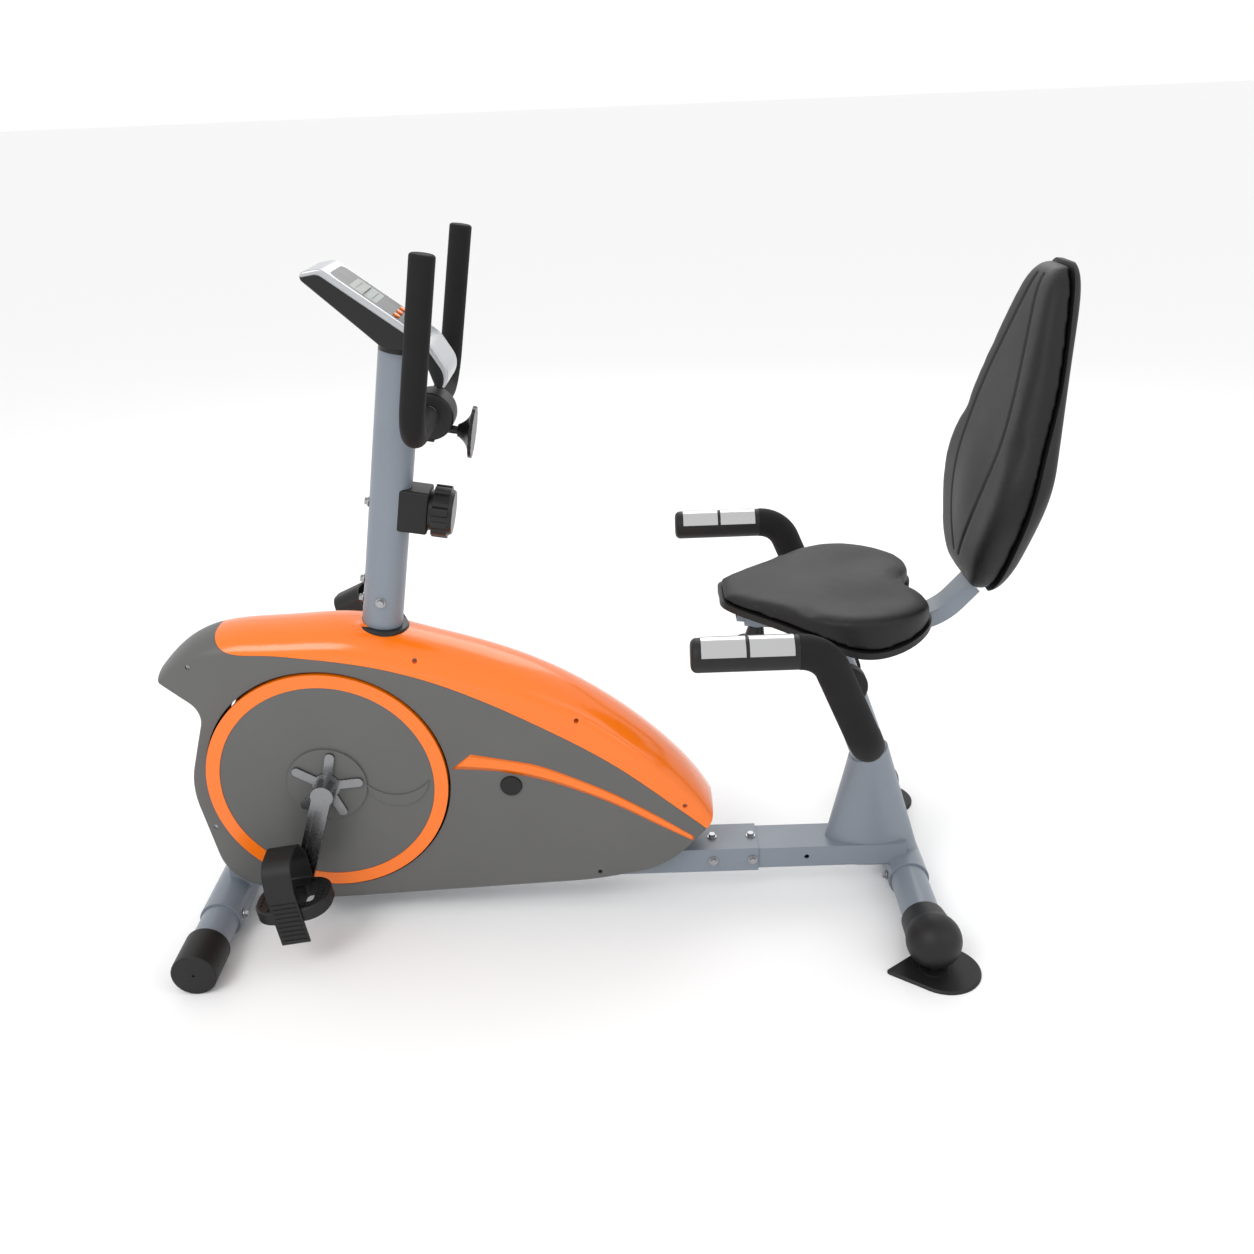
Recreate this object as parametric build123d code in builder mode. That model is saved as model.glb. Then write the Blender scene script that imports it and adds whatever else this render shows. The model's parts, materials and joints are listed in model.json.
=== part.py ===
"""Recumbent magnetic exercise bike, in millimetres.

X runs from the pedals (-X) to the backrest (+X), Y from the rider's left (-Y)
to the rider's right (+Y), and Z up from the floor.
"""

from math import acos, atan2, cos, hypot, radians, sin
import os

from build123d import *

os.makedirs("parts", exist_ok=True)

# Clearances
GAP = 0.3  # between curved faces that nearly touch
FIT = 0.05  # radial running fit of a shaft in its bore
SLIP = 0.4  # between a tube and the sleeve that it slides into
TRIM = 0.02  # flat faces that rest on each other

# Feet and stabilisers
FRONT_X = -640.0
REAR_X = 509.0
STABILISER_Z = 36.0
STABILISER_R = 30.0
STABILISER_END = 246.0
TUBE_WALL = 2.0
FRONT_CAP_R = 36.0
FRONT_CAP_START = 177.0
CAP_END_WALL = 4.0
SLEEVE_WALL = 3.5
FRONT_SLEEVE_END = 112.0
REAR_SLEEVE_END = 60.0
REAR_CAP_START = 166.0
REAR_BALL_R = 43.0
REAR_TUBE_END = 222.0
REAR_BALL_Y = 236.0
REAR_BALL_Z = 50.0
REAR_BALL_SHOULDER = 3.0  # how far the neck stays inside the ball
FOOT_STEM_R = 8.0
FOOT_PLATE = 5.0
FOOT_HALF_LENGTH = 72.0
FOOT_HALF_WIDTH = 55.4
FOOT_TIP_R = 6.0
FOOT_HUB_R = 22.0

# Beams
BEAM_WIDTH = 76.0
BEAM_HEIGHT = 44.0
BEAM_TOP = 94.0
BEAM_WALL = 2.5
JOINT_X = 258.0  # where the front beam's socket ends
BEAM_OVERLAP = 96.0
BEAM_BOLT_X = (182.0, 248.0)
BOLT_R = 4.0
BOLT_HEAD_R = 8.0
BOLT_HEAD = 5.0

# Mast
MAST_R = 31.5
MAST_WALL = 2.0
MAST_LEAN = 10.2  # degrees back from vertical
MAST_FOOT = (-333.0, 520.0)  # where the mast meets its socket, on its axis
MAST_LENGTH = 425.0
SPIGOT_UP = 90.0
COLLAR_R = 42.0

# Drive
CRANK = (-440.0, 266.0)
CRANK_ANGLE = 251.75  # direction of the left arm, from +X, seen from -Y
CRANK_ARM = 166.0
AXLE_R = 8.5
HOUSING_R = 22.0
HOUSING_HALF = 34.0
PULLEY_R = 110.0
BELT_Y = 42.0
BELT_WIDTH = 8.0
BELT_THICK = 2.5
FLYWHEEL = (-145.0, 249.0)
FLYWHEEL_R = 138.0
FLYWHEEL_HALF = 11.0
HUB_PULLEY_R = 16.0
FORK_INNER = 22.0
FORK_PLATE = 4.0
FLY_AXLE_R = 6.0
IDLER_R = 14.0
IDLER_ALONG = 0.52  # share of the belt's lower run at which the idler presses
MAGNET_GAP = 4.0
MAGNET_PIVOT_ANGLE = -68.0
MAGNET_SPAN = 62.0
BRACKET_HALF = 20.0

# Discs that turn with the cranks
DISC_R = 194.0
RING_INNER = 172.0
DISC_FACE = 69.0
DISC_SKIN = 3.0
OPENING_R = 197.5
SPIDER_Y = 73.0
SPIDER_THICK = 5.0
SPIDER_REACH = 52.0
ARM_OUTER = 112.0
ARM_THICK = 14.0
BOSS_R = 16.0

# Pedals
PEDAL_AXLE_R = 6.0
PEDAL_INNER = 119.0
PEDAL_WIDTH = 88.0
PEDAL_LENGTH = 119.0
PEDAL_THICK = 24.0
PEDAL_TILT = {"left": 8.0, "right": 24.0}
STRAP_WIDTH = 46.0
STRAP_THICK = 3.0
STRAP_RISE = 92.0

# Casing
CASE_HALF = 66.0
CASE_WALL = 3.0
SEAM = 0.3
SCREW_SPOTS = ((-633, 474), (-278, 474), (-34, 362), (135, 195), (-9, 76), (-640, 182))
SCREW_HEAD_R = 3.6
SCREW_SEAT = 50.0  # how far from the middle each screw head rests
SCREW_REACH = 39.0
PLUG_R = 18.0

# Handlebar
BAR_X = -222.0
BAR_Z = 850.0
BAR_HALF = 190.0
BAR_R = 12.7
BAR_TOP = 1086.0
BAR_LEAN = 41.0  # how far the top stands behind the cross part
FOAM_R = 17.0
CLAMP_R = 35.0
CLAMP_HALF = 26.0
CLAMP_KNOB_R = 38.0

# Tension control
TENSION_Z = 709.0
TENSION_HALF = 27.0
TENSION_HEIGHT = 66.0
TENSION_DEPTH = 44.0
TENSION_KNOB_R = 40.0
TENSION_KNOB_LENGTH = 36.0

# Console
CONSOLE_HALF = 50.0
BUTTON_R = 5.0
BUTTON_TRAVEL = 1.5

# Seat
RAIL_START = (224.0, 518.0)
RAIL_TILT = 6.0  # degrees down towards the rear
RAIL_WIDTH = 50.0
RAIL_HEIGHT = 25.0
RAIL_WALL = 2.0
CARRIAGE_START = 12.0
CARRIAGE_LENGTH = 176.0
CARRIAGE_WALL = 4.0
SEAT_HALF = 172.0
PAN_THICK = 10.0
POST_R = 30.0
POST_LEAN = 19.8
POST_POINT = (442.0, 255.0)  # a point on the post's axis
LOCK_KNOB_R = 31.5

# Rear handles
HANDLE_R = 14.3
HANDLE_FOAM_R = 24.5
HANDLE_Y = 270.0
HANDLE_Z = 566.0
CROSS = (394.0, 393.0)  # where the cross tube passes through the post
GRIP_START = 139.0
GRIP_END = 286.0
PLATE_LENGTH = 60.0


def save(builder, name):
    """Label a finished piece and write its STEP file."""
    builder.part.label = name
    export_step(builder.part, f"parts/{name}.step")


def on_axis(point, lean, distance):
    """A point on a leaning tube's axis, as (x, z)."""
    angle = radians(lean)
    return point[0] + distance * sin(angle), point[1] + distance * cos(angle)


def lean_plane(point, lean, distance=0.0):
    """A plane square to a leaning tube, with its normal up the tube."""
    x, z = on_axis(point, lean, distance)
    angle = radians(lean)
    return Plane(origin=(x, 0, z), x_dir=(cos(angle), 0, -sin(angle)), z_dir=(sin(angle), 0, cos(angle)))


def across(x, z, y_start):
    """A plane at y_start whose normal is +Y, with its x direction along +X."""
    return Plane(origin=(x, y_start, z), x_dir=(1, 0, 0), z_dir=(0, 1, 0))


MAST_PLANE = lean_plane(MAST_FOOT, MAST_LEAN)
BEAM_Z = BEAM_TOP - BEAM_HEIGHT / 2
SLEEVE_R = STABILISER_R + SLIP + SLEEVE_WALL


# ------------------------------------------------------------ frame weldments

REAR_BEAM_WIDTH = BEAM_WIDTH - 2 * (BEAM_WALL + SLIP)
REAR_BEAM_HEIGHT = BEAM_HEIGHT - 2 * (BEAM_WALL + SLIP)
SPIGOT_R = MAST_R - MAST_WALL - SLIP
BEARING_R = 16.0
BOLT_HOLE_R = BOLT_R + 0.2
TOP_BOLTS = [(x, 0, BEAM_TOP) for x in BEAM_BOLT_X]
SIDE_BOLT_Z = BEAM_Z
FRONT_BOLT_Y = 95.0
REAR_BOLT_Y = 44.0
FORK_RIGHT = BELT_Y + BELT_WIDTH / 2 + 4
FORK_WIDTH = 44.0
PIVOT_R = 5.0
MAGNET_ARM_R = FLYWHEEL_R + MAGNET_GAP + 12
MAGNET_PIVOT = (
    FLYWHEEL[0] + MAGNET_ARM_R * cos(radians(MAGNET_PIVOT_ANGLE)),
    FLYWHEEL[1] + MAGNET_ARM_R * sin(radians(MAGNET_PIVOT_ANGLE)),
)

# The lower run of the belt, as a tangent to the pulley and the hub pulley
BELT_INNER_1 = PULLEY_R + GAP
BELT_INNER_2 = HUB_PULLEY_R + GAP
PULLEY_SPAN = hypot(FLYWHEEL[0] - CRANK[0], FLYWHEEL[1] - CRANK[1])
RUN_NORMAL = atan2(FLYWHEEL[1] - CRANK[1], FLYWHEEL[0] - CRANK[0]) - acos(
    (BELT_INNER_1 - BELT_INNER_2) / PULLEY_SPAN
)
RUN_A = (
    CRANK[0] + (BELT_INNER_1 + BELT_THICK) * cos(RUN_NORMAL),
    CRANK[1] + (BELT_INNER_1 + BELT_THICK) * sin(RUN_NORMAL),
)
RUN_B = (
    FLYWHEEL[0] + (BELT_INNER_2 + BELT_THICK) * cos(RUN_NORMAL),
    FLYWHEEL[1] + (BELT_INNER_2 + BELT_THICK) * sin(RUN_NORMAL),
)
IDLER = (
    RUN_A[0] + IDLER_ALONG * (RUN_B[0] - RUN_A[0]) + (IDLER_R + GAP) * cos(RUN_NORMAL),
    RUN_A[1] + IDLER_ALONG * (RUN_B[1] - RUN_A[1]) + (IDLER_R + GAP) * sin(RUN_NORMAL),
)
IDLER_PIVOT = (IDLER[0] + 62.0, IDLER[1] - 26.0)
LUG_INNER = 14.0
LUG_THICK = 4.0
CABLE_EXIT = -40.0  # how far up the mast's axis the cable leaves the socket

with BuildPart() as front_frame:
    with BuildSketch(Plane.YZ.offset(FRONT_X)):
        with Locations((0, BEAM_Z)):
            Rectangle(BEAM_WIDTH, BEAM_HEIGHT)
    extrude(amount=JOINT_X - FRONT_X)
    with BuildSketch(MAST_PLANE):
        Circle(MAST_R)
    extrude(amount=-445)
    with BuildSketch(MAST_PLANE):
        Circle(SPIGOT_R)
    extrude(amount=SPIGOT_UP)
    with BuildSketch(across(*CRANK, -HOUSING_HALF)):
        Circle(HOUSING_R)
    extrude(amount=2 * HOUSING_HALF)
    with BuildSketch(across(CRANK[0] + 30, CRANK[1], -12)):
        Rectangle(60, 30)
    extrude(amount=24)
    # the cross sleeve for the front stabiliser
    with BuildSketch(across(FRONT_X, STABILISER_Z, -FRONT_SLEEVE_END)):
        Circle(SLEEVE_R)
    extrude(amount=2 * FRONT_SLEEVE_END)
    # hollow beam, socket and sleeve
    with BuildSketch(Plane.YZ.offset(FRONT_X + 40)):
        with Locations((0, BEAM_Z)):
            Rectangle(BEAM_WIDTH - 2 * BEAM_WALL, BEAM_HEIGHT - 2 * BEAM_WALL)
    extrude(amount=JOINT_X - FRONT_X, mode=Mode.SUBTRACT)
    with BuildSketch(MAST_PLANE.offset(SPIGOT_UP)):
        Circle(SPIGOT_R - 3)
    extrude(amount=-SPIGOT_UP - 430, mode=Mode.SUBTRACT)
    with BuildSketch(across(FRONT_X, STABILISER_Z, -FRONT_SLEEVE_END)):
        Circle(STABILISER_R + SLIP)
    extrude(amount=2 * FRONT_SLEEVE_END, mode=Mode.SUBTRACT)
    with BuildSketch(across(*CRANK, -HOUSING_HALF)):
        Circle(BEARING_R + FIT)
    extrude(amount=2 * HOUSING_HALF, mode=Mode.SUBTRACT)
    # where the tension cable leaves the socket
    with BuildSketch(Plane(MAST_PLANE.offset(CABLE_EXIT).origin, z_dir=MAST_PLANE.x_dir)):
        Circle(6)
    extrude(amount=MAST_R + 2, mode=Mode.SUBTRACT)
    # fork plates that carry the flywheel's axle
    for plate_y, foot in ((-FORK_INNER - FORK_PLATE, False), (FORK_RIGHT, True)):
        with BuildSketch(across(FLYWHEEL[0], (FLYWHEEL[1] + BEAM_TOP) / 2, plate_y)):
            Rectangle(FORK_WIDTH, FLYWHEEL[1] - BEAM_TOP)
        extrude(amount=FORK_PLATE)
        with BuildSketch(across(*FLYWHEEL, plate_y)):
            Circle(FORK_WIDTH / 2)
        extrude(amount=FORK_PLATE)
        if foot:
            with BuildSketch(across(FLYWHEEL[0], BEAM_TOP - 8, BEAM_WIDTH / 2 - 1)):
                Rectangle(FORK_WIDTH, 16)
            extrude(amount=FORK_RIGHT + FORK_PLATE - BEAM_WIDTH / 2 + 1)
        with BuildSketch(across(*FLYWHEEL, plate_y)):
            Circle(FLY_AXLE_R + FIT)
        extrude(amount=FORK_PLATE, mode=Mode.SUBTRACT)
    # lugs for the magnet bracket and the idler arm
    for lug_x, lug_z, lug_ys in (
        (*MAGNET_PIVOT, (-BRACKET_HALF - GAP - LUG_THICK, BRACKET_HALF + GAP)),
        (*IDLER_PIVOT, (LUG_INNER,)),
    ):
        for lug_y in lug_ys:
            with BuildSketch(across(lug_x, lug_z, lug_y)):
                Circle(PIVOT_R + 5)
            extrude(amount=LUG_THICK)
            with BuildSketch(across(lug_x, (lug_z + BEAM_TOP - 1) / 2, lug_y)):
                Rectangle(2 * (PIVOT_R + 5), lug_z - BEAM_TOP + 1)
            extrude(amount=LUG_THICK)
            with BuildSketch(across(lug_x, lug_z, lug_y)):
                Circle(PIVOT_R - 1 + FIT)
            extrude(amount=LUG_THICK, mode=Mode.SUBTRACT)
    # bolt holes
    for x, y, z in TOP_BOLTS:
        with BuildSketch(Plane.XY.offset(z)):
            with Locations((x, y)):
                Circle(BOLT_HOLE_R)
        extrude(amount=-BEAM_WALL, mode=Mode.SUBTRACT)
    with BuildSketch(Plane.XZ.offset(BEAM_WIDTH / 2)):
        with Locations(*[(x, SIDE_BOLT_Z) for x in BEAM_BOLT_X]):
            Circle(BOLT_HOLE_R)
    extrude(amount=-BEAM_WIDTH, mode=Mode.SUBTRACT)
    with BuildSketch(Plane.YZ.offset(FRONT_X)):
        with Locations((-FRONT_BOLT_Y, STABILISER_Z), (FRONT_BOLT_Y, STABILISER_Z)):
            Circle(BOLT_HOLE_R)
    extrude(amount=SLEEVE_R, mode=Mode.SUBTRACT)
save(front_frame, "front_frame")

POST_FOOT_HALF = 86.0
POST_FOOT_X = 452.0
POST_FOOT_Z = 50.0
POST_FOOT_HALF_WIDTH = 33.5
POST_SOCKET_R = 33.5
POST_UP = 231.0  # length of post above its point, up to the carriage
with BuildPart() as rear_frame:
    with BuildSketch(Plane.YZ.offset(JOINT_X - BEAM_OVERLAP)):
        with Locations((0, BEAM_Z)):
            Rectangle(REAR_BEAM_WIDTH, REAR_BEAM_HEIGHT)
    extrude(amount=REAR_X - JOINT_X + BEAM_OVERLAP)
    with BuildSketch(across(REAR_X, STABILISER_Z, -REAR_SLEEVE_END)):
        Circle(SLEEVE_R)
    extrude(amount=2 * REAR_SLEEVE_END)
    with BuildSketch(Plane.YZ.offset(JOINT_X - BEAM_OVERLAP)):
        with Locations((0, BEAM_Z)):
            Rectangle(REAR_BEAM_WIDTH - 2 * BEAM_WALL, REAR_BEAM_HEIGHT - 2 * BEAM_WALL)
    extrude(amount=POST_FOOT_X - POST_FOOT_HALF + 20 - JOINT_X + BEAM_OVERLAP, mode=Mode.SUBTRACT)
    # flared foot of the seat post
    with BuildSketch(Plane.XY.offset(POST_FOOT_Z)):
        with Locations((POST_FOOT_X, 0)):
            Ellipse(POST_FOOT_HALF, POST_FOOT_HALF_WIDTH)
    with BuildSketch(lean_plane(POST_POINT, -POST_LEAN)):
        Circle(POST_SOCKET_R)
    loft()
    with BuildSketch(lean_plane(POST_POINT, -POST_LEAN, -60)):
        Circle(POST_R)
    extrude(amount=POST_UP + 60)
    with BuildSketch(lean_plane(POST_POINT, -POST_LEAN, POST_UP)):
        Circle(POST_R - TUBE_WALL)
    extrude(amount=-POST_UP, mode=Mode.SUBTRACT)
    with BuildSketch(across(*CROSS, -POST_R)):
        Circle(HANDLE_R + FIT)
    extrude(amount=2 * POST_R, mode=Mode.SUBTRACT)
    with BuildSketch(across(REAR_X, STABILISER_Z, -REAR_SLEEVE_END)):
        Circle(STABILISER_R + SLIP)
    extrude(amount=2 * REAR_SLEEVE_END, mode=Mode.SUBTRACT)
    # bolt holes, and a spare hole in the side of the beam
    with BuildSketch(Plane.XY.offset(BEAM_TOP)):
        with Locations(*[(x, 0) for x in BEAM_BOLT_X]):
            Circle(BOLT_HOLE_R)
    extrude(amount=-2 * BEAM_WALL - SLIP, mode=Mode.SUBTRACT)
    with BuildSketch(Plane.XZ.offset(BEAM_WIDTH / 2)):
        with Locations(*[(x, SIDE_BOLT_Z) for x in (*BEAM_BOLT_X, 340.0)]):
            Circle(BOLT_HOLE_R)
    extrude(amount=-BEAM_WIDTH, mode=Mode.SUBTRACT)
    with BuildSketch(Plane.YZ.offset(REAR_X)):
        with Locations((-REAR_BOLT_Y, STABILISER_Z), (REAR_BOLT_Y, STABILISER_Z)):
            Circle(BOLT_HOLE_R)
    extrude(amount=-SLEEVE_R, mode=Mode.SUBTRACT)
save(rear_frame, "rear_frame")

STABILISERS = (
    ("front_stabiliser", FRONT_X, STABILISER_END, FRONT_BOLT_Y, 1),
    ("rear_stabiliser", REAR_X, REAR_TUBE_END, REAR_BOLT_Y, -1),
)
for name, centre_x, half, bolt_y, bolt_side in STABILISERS:
    with BuildPart() as stabiliser:
        with BuildSketch(across(centre_x, STABILISER_Z, -half)):
            Circle(STABILISER_R)
            Circle(STABILISER_R - TUBE_WALL, mode=Mode.SUBTRACT)
        extrude(amount=2 * half)
        with BuildSketch(Plane.YZ.offset(centre_x)):
            with Locations((-bolt_y, STABILISER_Z), (bolt_y, STABILISER_Z)):
                Circle(BOLT_HOLE_R)
        extrude(amount=bolt_side * SLEEVE_R, mode=Mode.SUBTRACT)
    save(stabiliser, name)

with BuildPart() as front_end_caps:
    with BuildSketch(across(FRONT_X, STABILISER_Z, FRONT_CAP_START)):
        Circle(FRONT_CAP_R)
    extrude(amount=STABILISER_END + CAP_END_WALL - FRONT_CAP_START)
    fillet(front_end_caps.faces().sort_by(Axis.Y)[-1].edges(), 3)
    chamfer(front_end_caps.faces().sort_by(Axis.Y)[0].edges(), 1.5)
    with BuildSketch(across(FRONT_X, STABILISER_Z, FRONT_CAP_START)):
        Circle(STABILISER_R + TRIM)
    extrude(amount=STABILISER_END + TRIM - FRONT_CAP_START, mode=Mode.SUBTRACT)
    with BuildSketch(across(FRONT_X, STABILISER_Z, STABILISER_END)):
        Circle(2.2)
    extrude(amount=2 * CAP_END_WALL, mode=Mode.SUBTRACT)
    mirror(about=Plane.XZ)
save(front_end_caps, "front_end_caps")

with BuildPart() as rear_end_caps:
    with BuildSketch(across(REAR_X, STABILISER_Z, REAR_CAP_START)):
        Circle(STABILISER_R + 5)
    with BuildSketch(across(REAR_X, REAR_BALL_Z, REAR_BALL_Y)):
        Circle(REAR_BALL_R - REAR_BALL_SHOULDER)
    loft()
    with Locations((REAR_X, REAR_BALL_Y, REAR_BALL_Z)):
        Sphere(REAR_BALL_R)
    # flat sole over the levelling foot
    with Locations((REAR_X, REAR_BALL_Y, FOOT_PLATE + 4)):
        sole = (Align.CENTER, Align.CENTER, Align.MAX)
        Box(3 * REAR_BALL_R, 3 * REAR_BALL_R, 60, align=sole, mode=Mode.SUBTRACT)
    with BuildSketch(across(REAR_X, STABILISER_Z, REAR_CAP_START - 5)):
        Circle(STABILISER_R + TRIM)
    extrude(amount=REAR_TUBE_END + TRIM - REAR_CAP_START + 5, mode=Mode.SUBTRACT)
    with BuildSketch(Plane.XY):
        with Locations((REAR_X, REAR_BALL_Y + 12)):
            Circle(FOOT_STEM_R + FIT)
    extrude(amount=48, mode=Mode.SUBTRACT)
    mirror(about=Plane.XZ)
save(rear_end_caps, "rear_end_caps")

FOOT_Y = REAR_BALL_Y + 12
for side, name in ((-1, "levelling_foot_left"), (1, "levelling_foot_right")):
    with BuildPart() as foot:
        with BuildSketch(Plane.XY):
            with Locations((REAR_X + FOOT_HALF_LENGTH - FOOT_HALF_WIDTH, side * FOOT_Y)):
                Circle(FOOT_HALF_WIDTH)
            with Locations((REAR_X - FOOT_HALF_LENGTH + FOOT_TIP_R, side * FOOT_Y)):
                Circle(FOOT_TIP_R)
            make_hull()
        extrude(amount=FOOT_PLATE)
        chamfer(foot.faces().sort_by(Axis.Z)[-1].edges(), 2.5)
        with BuildSketch(Plane.XY.offset(FOOT_PLATE)):
            with Locations((REAR_X, side * FOOT_Y)):
                Circle(FOOT_HUB_R)
        extrude(amount=3.5)
        with BuildSketch(Plane.XY.offset(FOOT_PLATE)):
            with Locations((REAR_X, side * FOOT_Y)):
                Circle(FOOT_STEM_R)
        extrude(amount=40)
    save(foot, name)


def dome_bolt(plane, shank):
    """A domed bolt whose head rests on the plane, its shank running below it."""
    with BuildPart() as bolt:
        with BuildSketch(plane):
            Circle(BOLT_HEAD_R)
        extrude(amount=1.6)
        with BuildSketch(plane.offset(1.6)):
            RegularPolygon(BOLT_HEAD_R * 0.72, 6)
        extrude(amount=BOLT_HEAD)
        with BuildSketch(plane):
            Circle(BOLT_R)
        extrude(amount=-shank)
    return bolt.part


SHANK = 12.0
SLEEVE_SEAT = SLEEVE_R + TRIM
TENSION_UP = (TENSION_Z - MAST_FOOT[1]) / cos(radians(MAST_LEAN))
MAST_BOLTS = [
    (MAST_PLANE.offset(42).origin + Vector(0, side * (MAST_R + TRIM), 0), Vector(0, side, 0))
    for side in (-1, 1)
] + [
    (MAST_PLANE.offset(up).origin - MAST_PLANE.x_dir * (MAST_R + TRIM), -MAST_PLANE.x_dir)
    for up in (34.0, 66.0, TENSION_UP)
]
with BuildPart() as frame_bolts:
    for x in BEAM_BOLT_X:
        add(dome_bolt(Plane((x, 0, BEAM_TOP + TRIM), z_dir=(0, 0, 1)), SHANK))
        for side in (-1, 1):
            seat = side * (BEAM_WIDTH / 2 + TRIM)
            add(dome_bolt(Plane((x, seat, SIDE_BOLT_Z), z_dir=(0, side, 0)), SHANK))
    for side in (-1, 1):
        front_seat = Plane((FRONT_X + SLEEVE_SEAT + 1, side * FRONT_BOLT_Y, STABILISER_Z), z_dir=(1, 0, 0))
        rear_seat = Plane((REAR_X - SLEEVE_SEAT - 1, side * REAR_BOLT_Y, STABILISER_Z), z_dir=(-1, 0, 0))
        add(dome_bolt(front_seat, SHANK))
        add(dome_bolt(rear_seat, SHANK))
    for seat, outward in MAST_BOLTS:
        add(dome_bolt(Plane(seat, z_dir=outward), MAST_WALL))
save(frame_bolts, "frame_bolts")

# ------------------------------------------------------------------- casing

# Side view of the casing below its crown: nose, hollow front, belly and tail
CASE_LOW = (
    (-688, 620), (-690, 446), (-622, 397), (-668, 258), (-634, 80), (-470, 36),
    (-22, 56), (100, 76), (182, 158), (182, 620),
)
CASE_LOW_RADII = (12, 36, 150, 80, 150, 500, 150, 40)
CASE_HEAD = 620.0
# Ridge height, half width and depth of the crown along the casing
CROWN = (
    (-720, 425, 40, 16), (-686, 463, 46, 20), (-645, 499, 54, 27), (-560, 525, 62, 36),
    (-454, 529, CASE_HALF, 42), (-297, 508, CASE_HALF, 44), (-183, 471, CASE_HALF, 44),
    (-62, 416, CASE_HALF, 44), (60, 328, 64, 42), (142, 243, 58, 36), (200, 140, 46, 28),
)
# Seam between the grey shells and the orange covers
COVER_SEAM = (
    (-592, 518), (-572, 500), (-520, 493), (-447, 486), (-329, 463), (-212, 419),
    (-94, 355), (26, 276), (119, 195), (166, 150), (215, 90),
)
CASE_BASE = 0.0
CASE_ROUND = 12.0


def crown_section(inset, x, ridge, half, depth):
    """One cross-section of the crown, inset by a wall."""
    with BuildSketch(Plane.YZ.offset(x)) as section:
        with BuildLine():
            side = ridge - depth
            EllipticalCenterArc((0, side), half - inset, depth - inset, start_angle=0, arc_size=180)
            Line((inset - half, side), (inset - half, CASE_BASE))
            Line((inset - half, CASE_BASE), (half - inset, CASE_BASE))
            Line((half - inset, CASE_BASE), (half - inset, side))
        make_face()
    return section.sketch


def casing_solid(inset):
    """The casing's outer form, or its cavity when inset by the wall."""
    with BuildPart() as crown:
        for station in CROWN:
            add(crown_section(inset, *station))
        loft()
    with BuildPart() as low:
        with BuildSketch(Plane.XZ.offset(inset - CASE_HALF)):
            with BuildLine():
                FilletPolyline(*CASE_LOW, radius=CASE_LOW_RADII)
                Line(CASE_LOW[-1], CASE_LOW[0])
            make_face()
            if inset:
                offset(amount=-inset, kind=Kind.INTERSECTION)
        extrude(amount=2 * (CASE_HALF - inset))
        rims = low.faces().filter_by(Axis.Y).edges().filter_by(lambda e: e.center().Z < 600)
        fillet(rims, CASE_ROUND - inset)
    return crown.part & low.part


outer_case = casing_solid(0)
case_shell = outer_case - casing_solid(CASE_WALL)


def case_cut(spots):
    """Screw wells at the given side-view spots, right through both sides."""
    with BuildPart() as wells:
        for side in (-1, 1):
            with BuildSketch(Plane.XZ.offset(side * SCREW_SEAT)):
                with Locations(*spots):
                    Circle(SCREW_HEAD_R + GAP)
            extrude(amount=side * 60)
            with BuildSketch(Plane.XZ.offset(side * SCREW_REACH)):
                with Locations(*spots):
                    Circle(SCREW_HEAD_R / 2)
            extrude(amount=side * 30)
    return wells.part


with BuildPart(mode=Mode.PRIVATE) as screw_bosses:
    for side in (-1, 1):
        with BuildSketch(Plane.XZ.offset(side * SCREW_REACH)):
            with Locations(*SCREW_SPOTS):
                Circle(SCREW_HEAD_R + 3)
        extrude(amount=side * 40)
case_shell = case_shell + (screw_bosses.part & outer_case) - case_cut(SCREW_SPOTS)

with BuildPart() as case_openings:
    with BuildSketch(across(*CRANK, -100)):
        Circle(OPENING_R)
    extrude(amount=58)
    with BuildSketch(across(*CRANK, 42)):
        Circle(OPENING_R)
    extrude(amount=58)
    with Locations((FRONT_X, 0, 0)):
        Box(900, BEAM_WIDTH + 2 * SLIP, BEAM_TOP + SLIP, align=(Align.MIN, Align.CENTER, Align.MIN))
    with BuildSketch(MAST_PLANE):
        Circle(MAST_R + SLIP)
    extrude(amount=200, both=True)
    # holes for the plugs over the flywheel's axle
    with BuildSketch(across(*FLYWHEEL, -100)):
        Circle(PLUG_R - 2)
    extrude(amount=200)
case_shell = case_shell - case_openings.part

with BuildPart() as cover_region:
    with BuildSketch(Plane.XZ.offset(-2 * CASE_HALF)):
        with BuildLine():
            Spline(*COVER_SEAM)
            Polyline(COVER_SEAM[-1], (COVER_SEAM[-1][0], CASE_HEAD), (-578, CASE_HEAD), COVER_SEAM[0])
        make_face()
    extrude(amount=4 * CASE_HALF)

for name, keep, side in (
    ("casing_left", "grey", Keep.TOP),
    ("casing_right", "grey", Keep.BOTTOM),
    ("top_cover_left", "orange", Keep.TOP),
    ("top_cover_right", "orange", Keep.BOTTOM),
):
    with BuildPart() as shell:
        add(case_shell)
        if keep == "grey":
            add(cover_region.part, mode=Mode.SUBTRACT)
        else:
            add(cover_region.part.moved(Location((SEAM, 0, SEAM))), mode=Mode.INTERSECT)
        split(bisect_by=Plane.XZ.offset(SEAM / 2 if side is Keep.TOP else -SEAM / 2), keep=side)
    save(shell, name)

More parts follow.
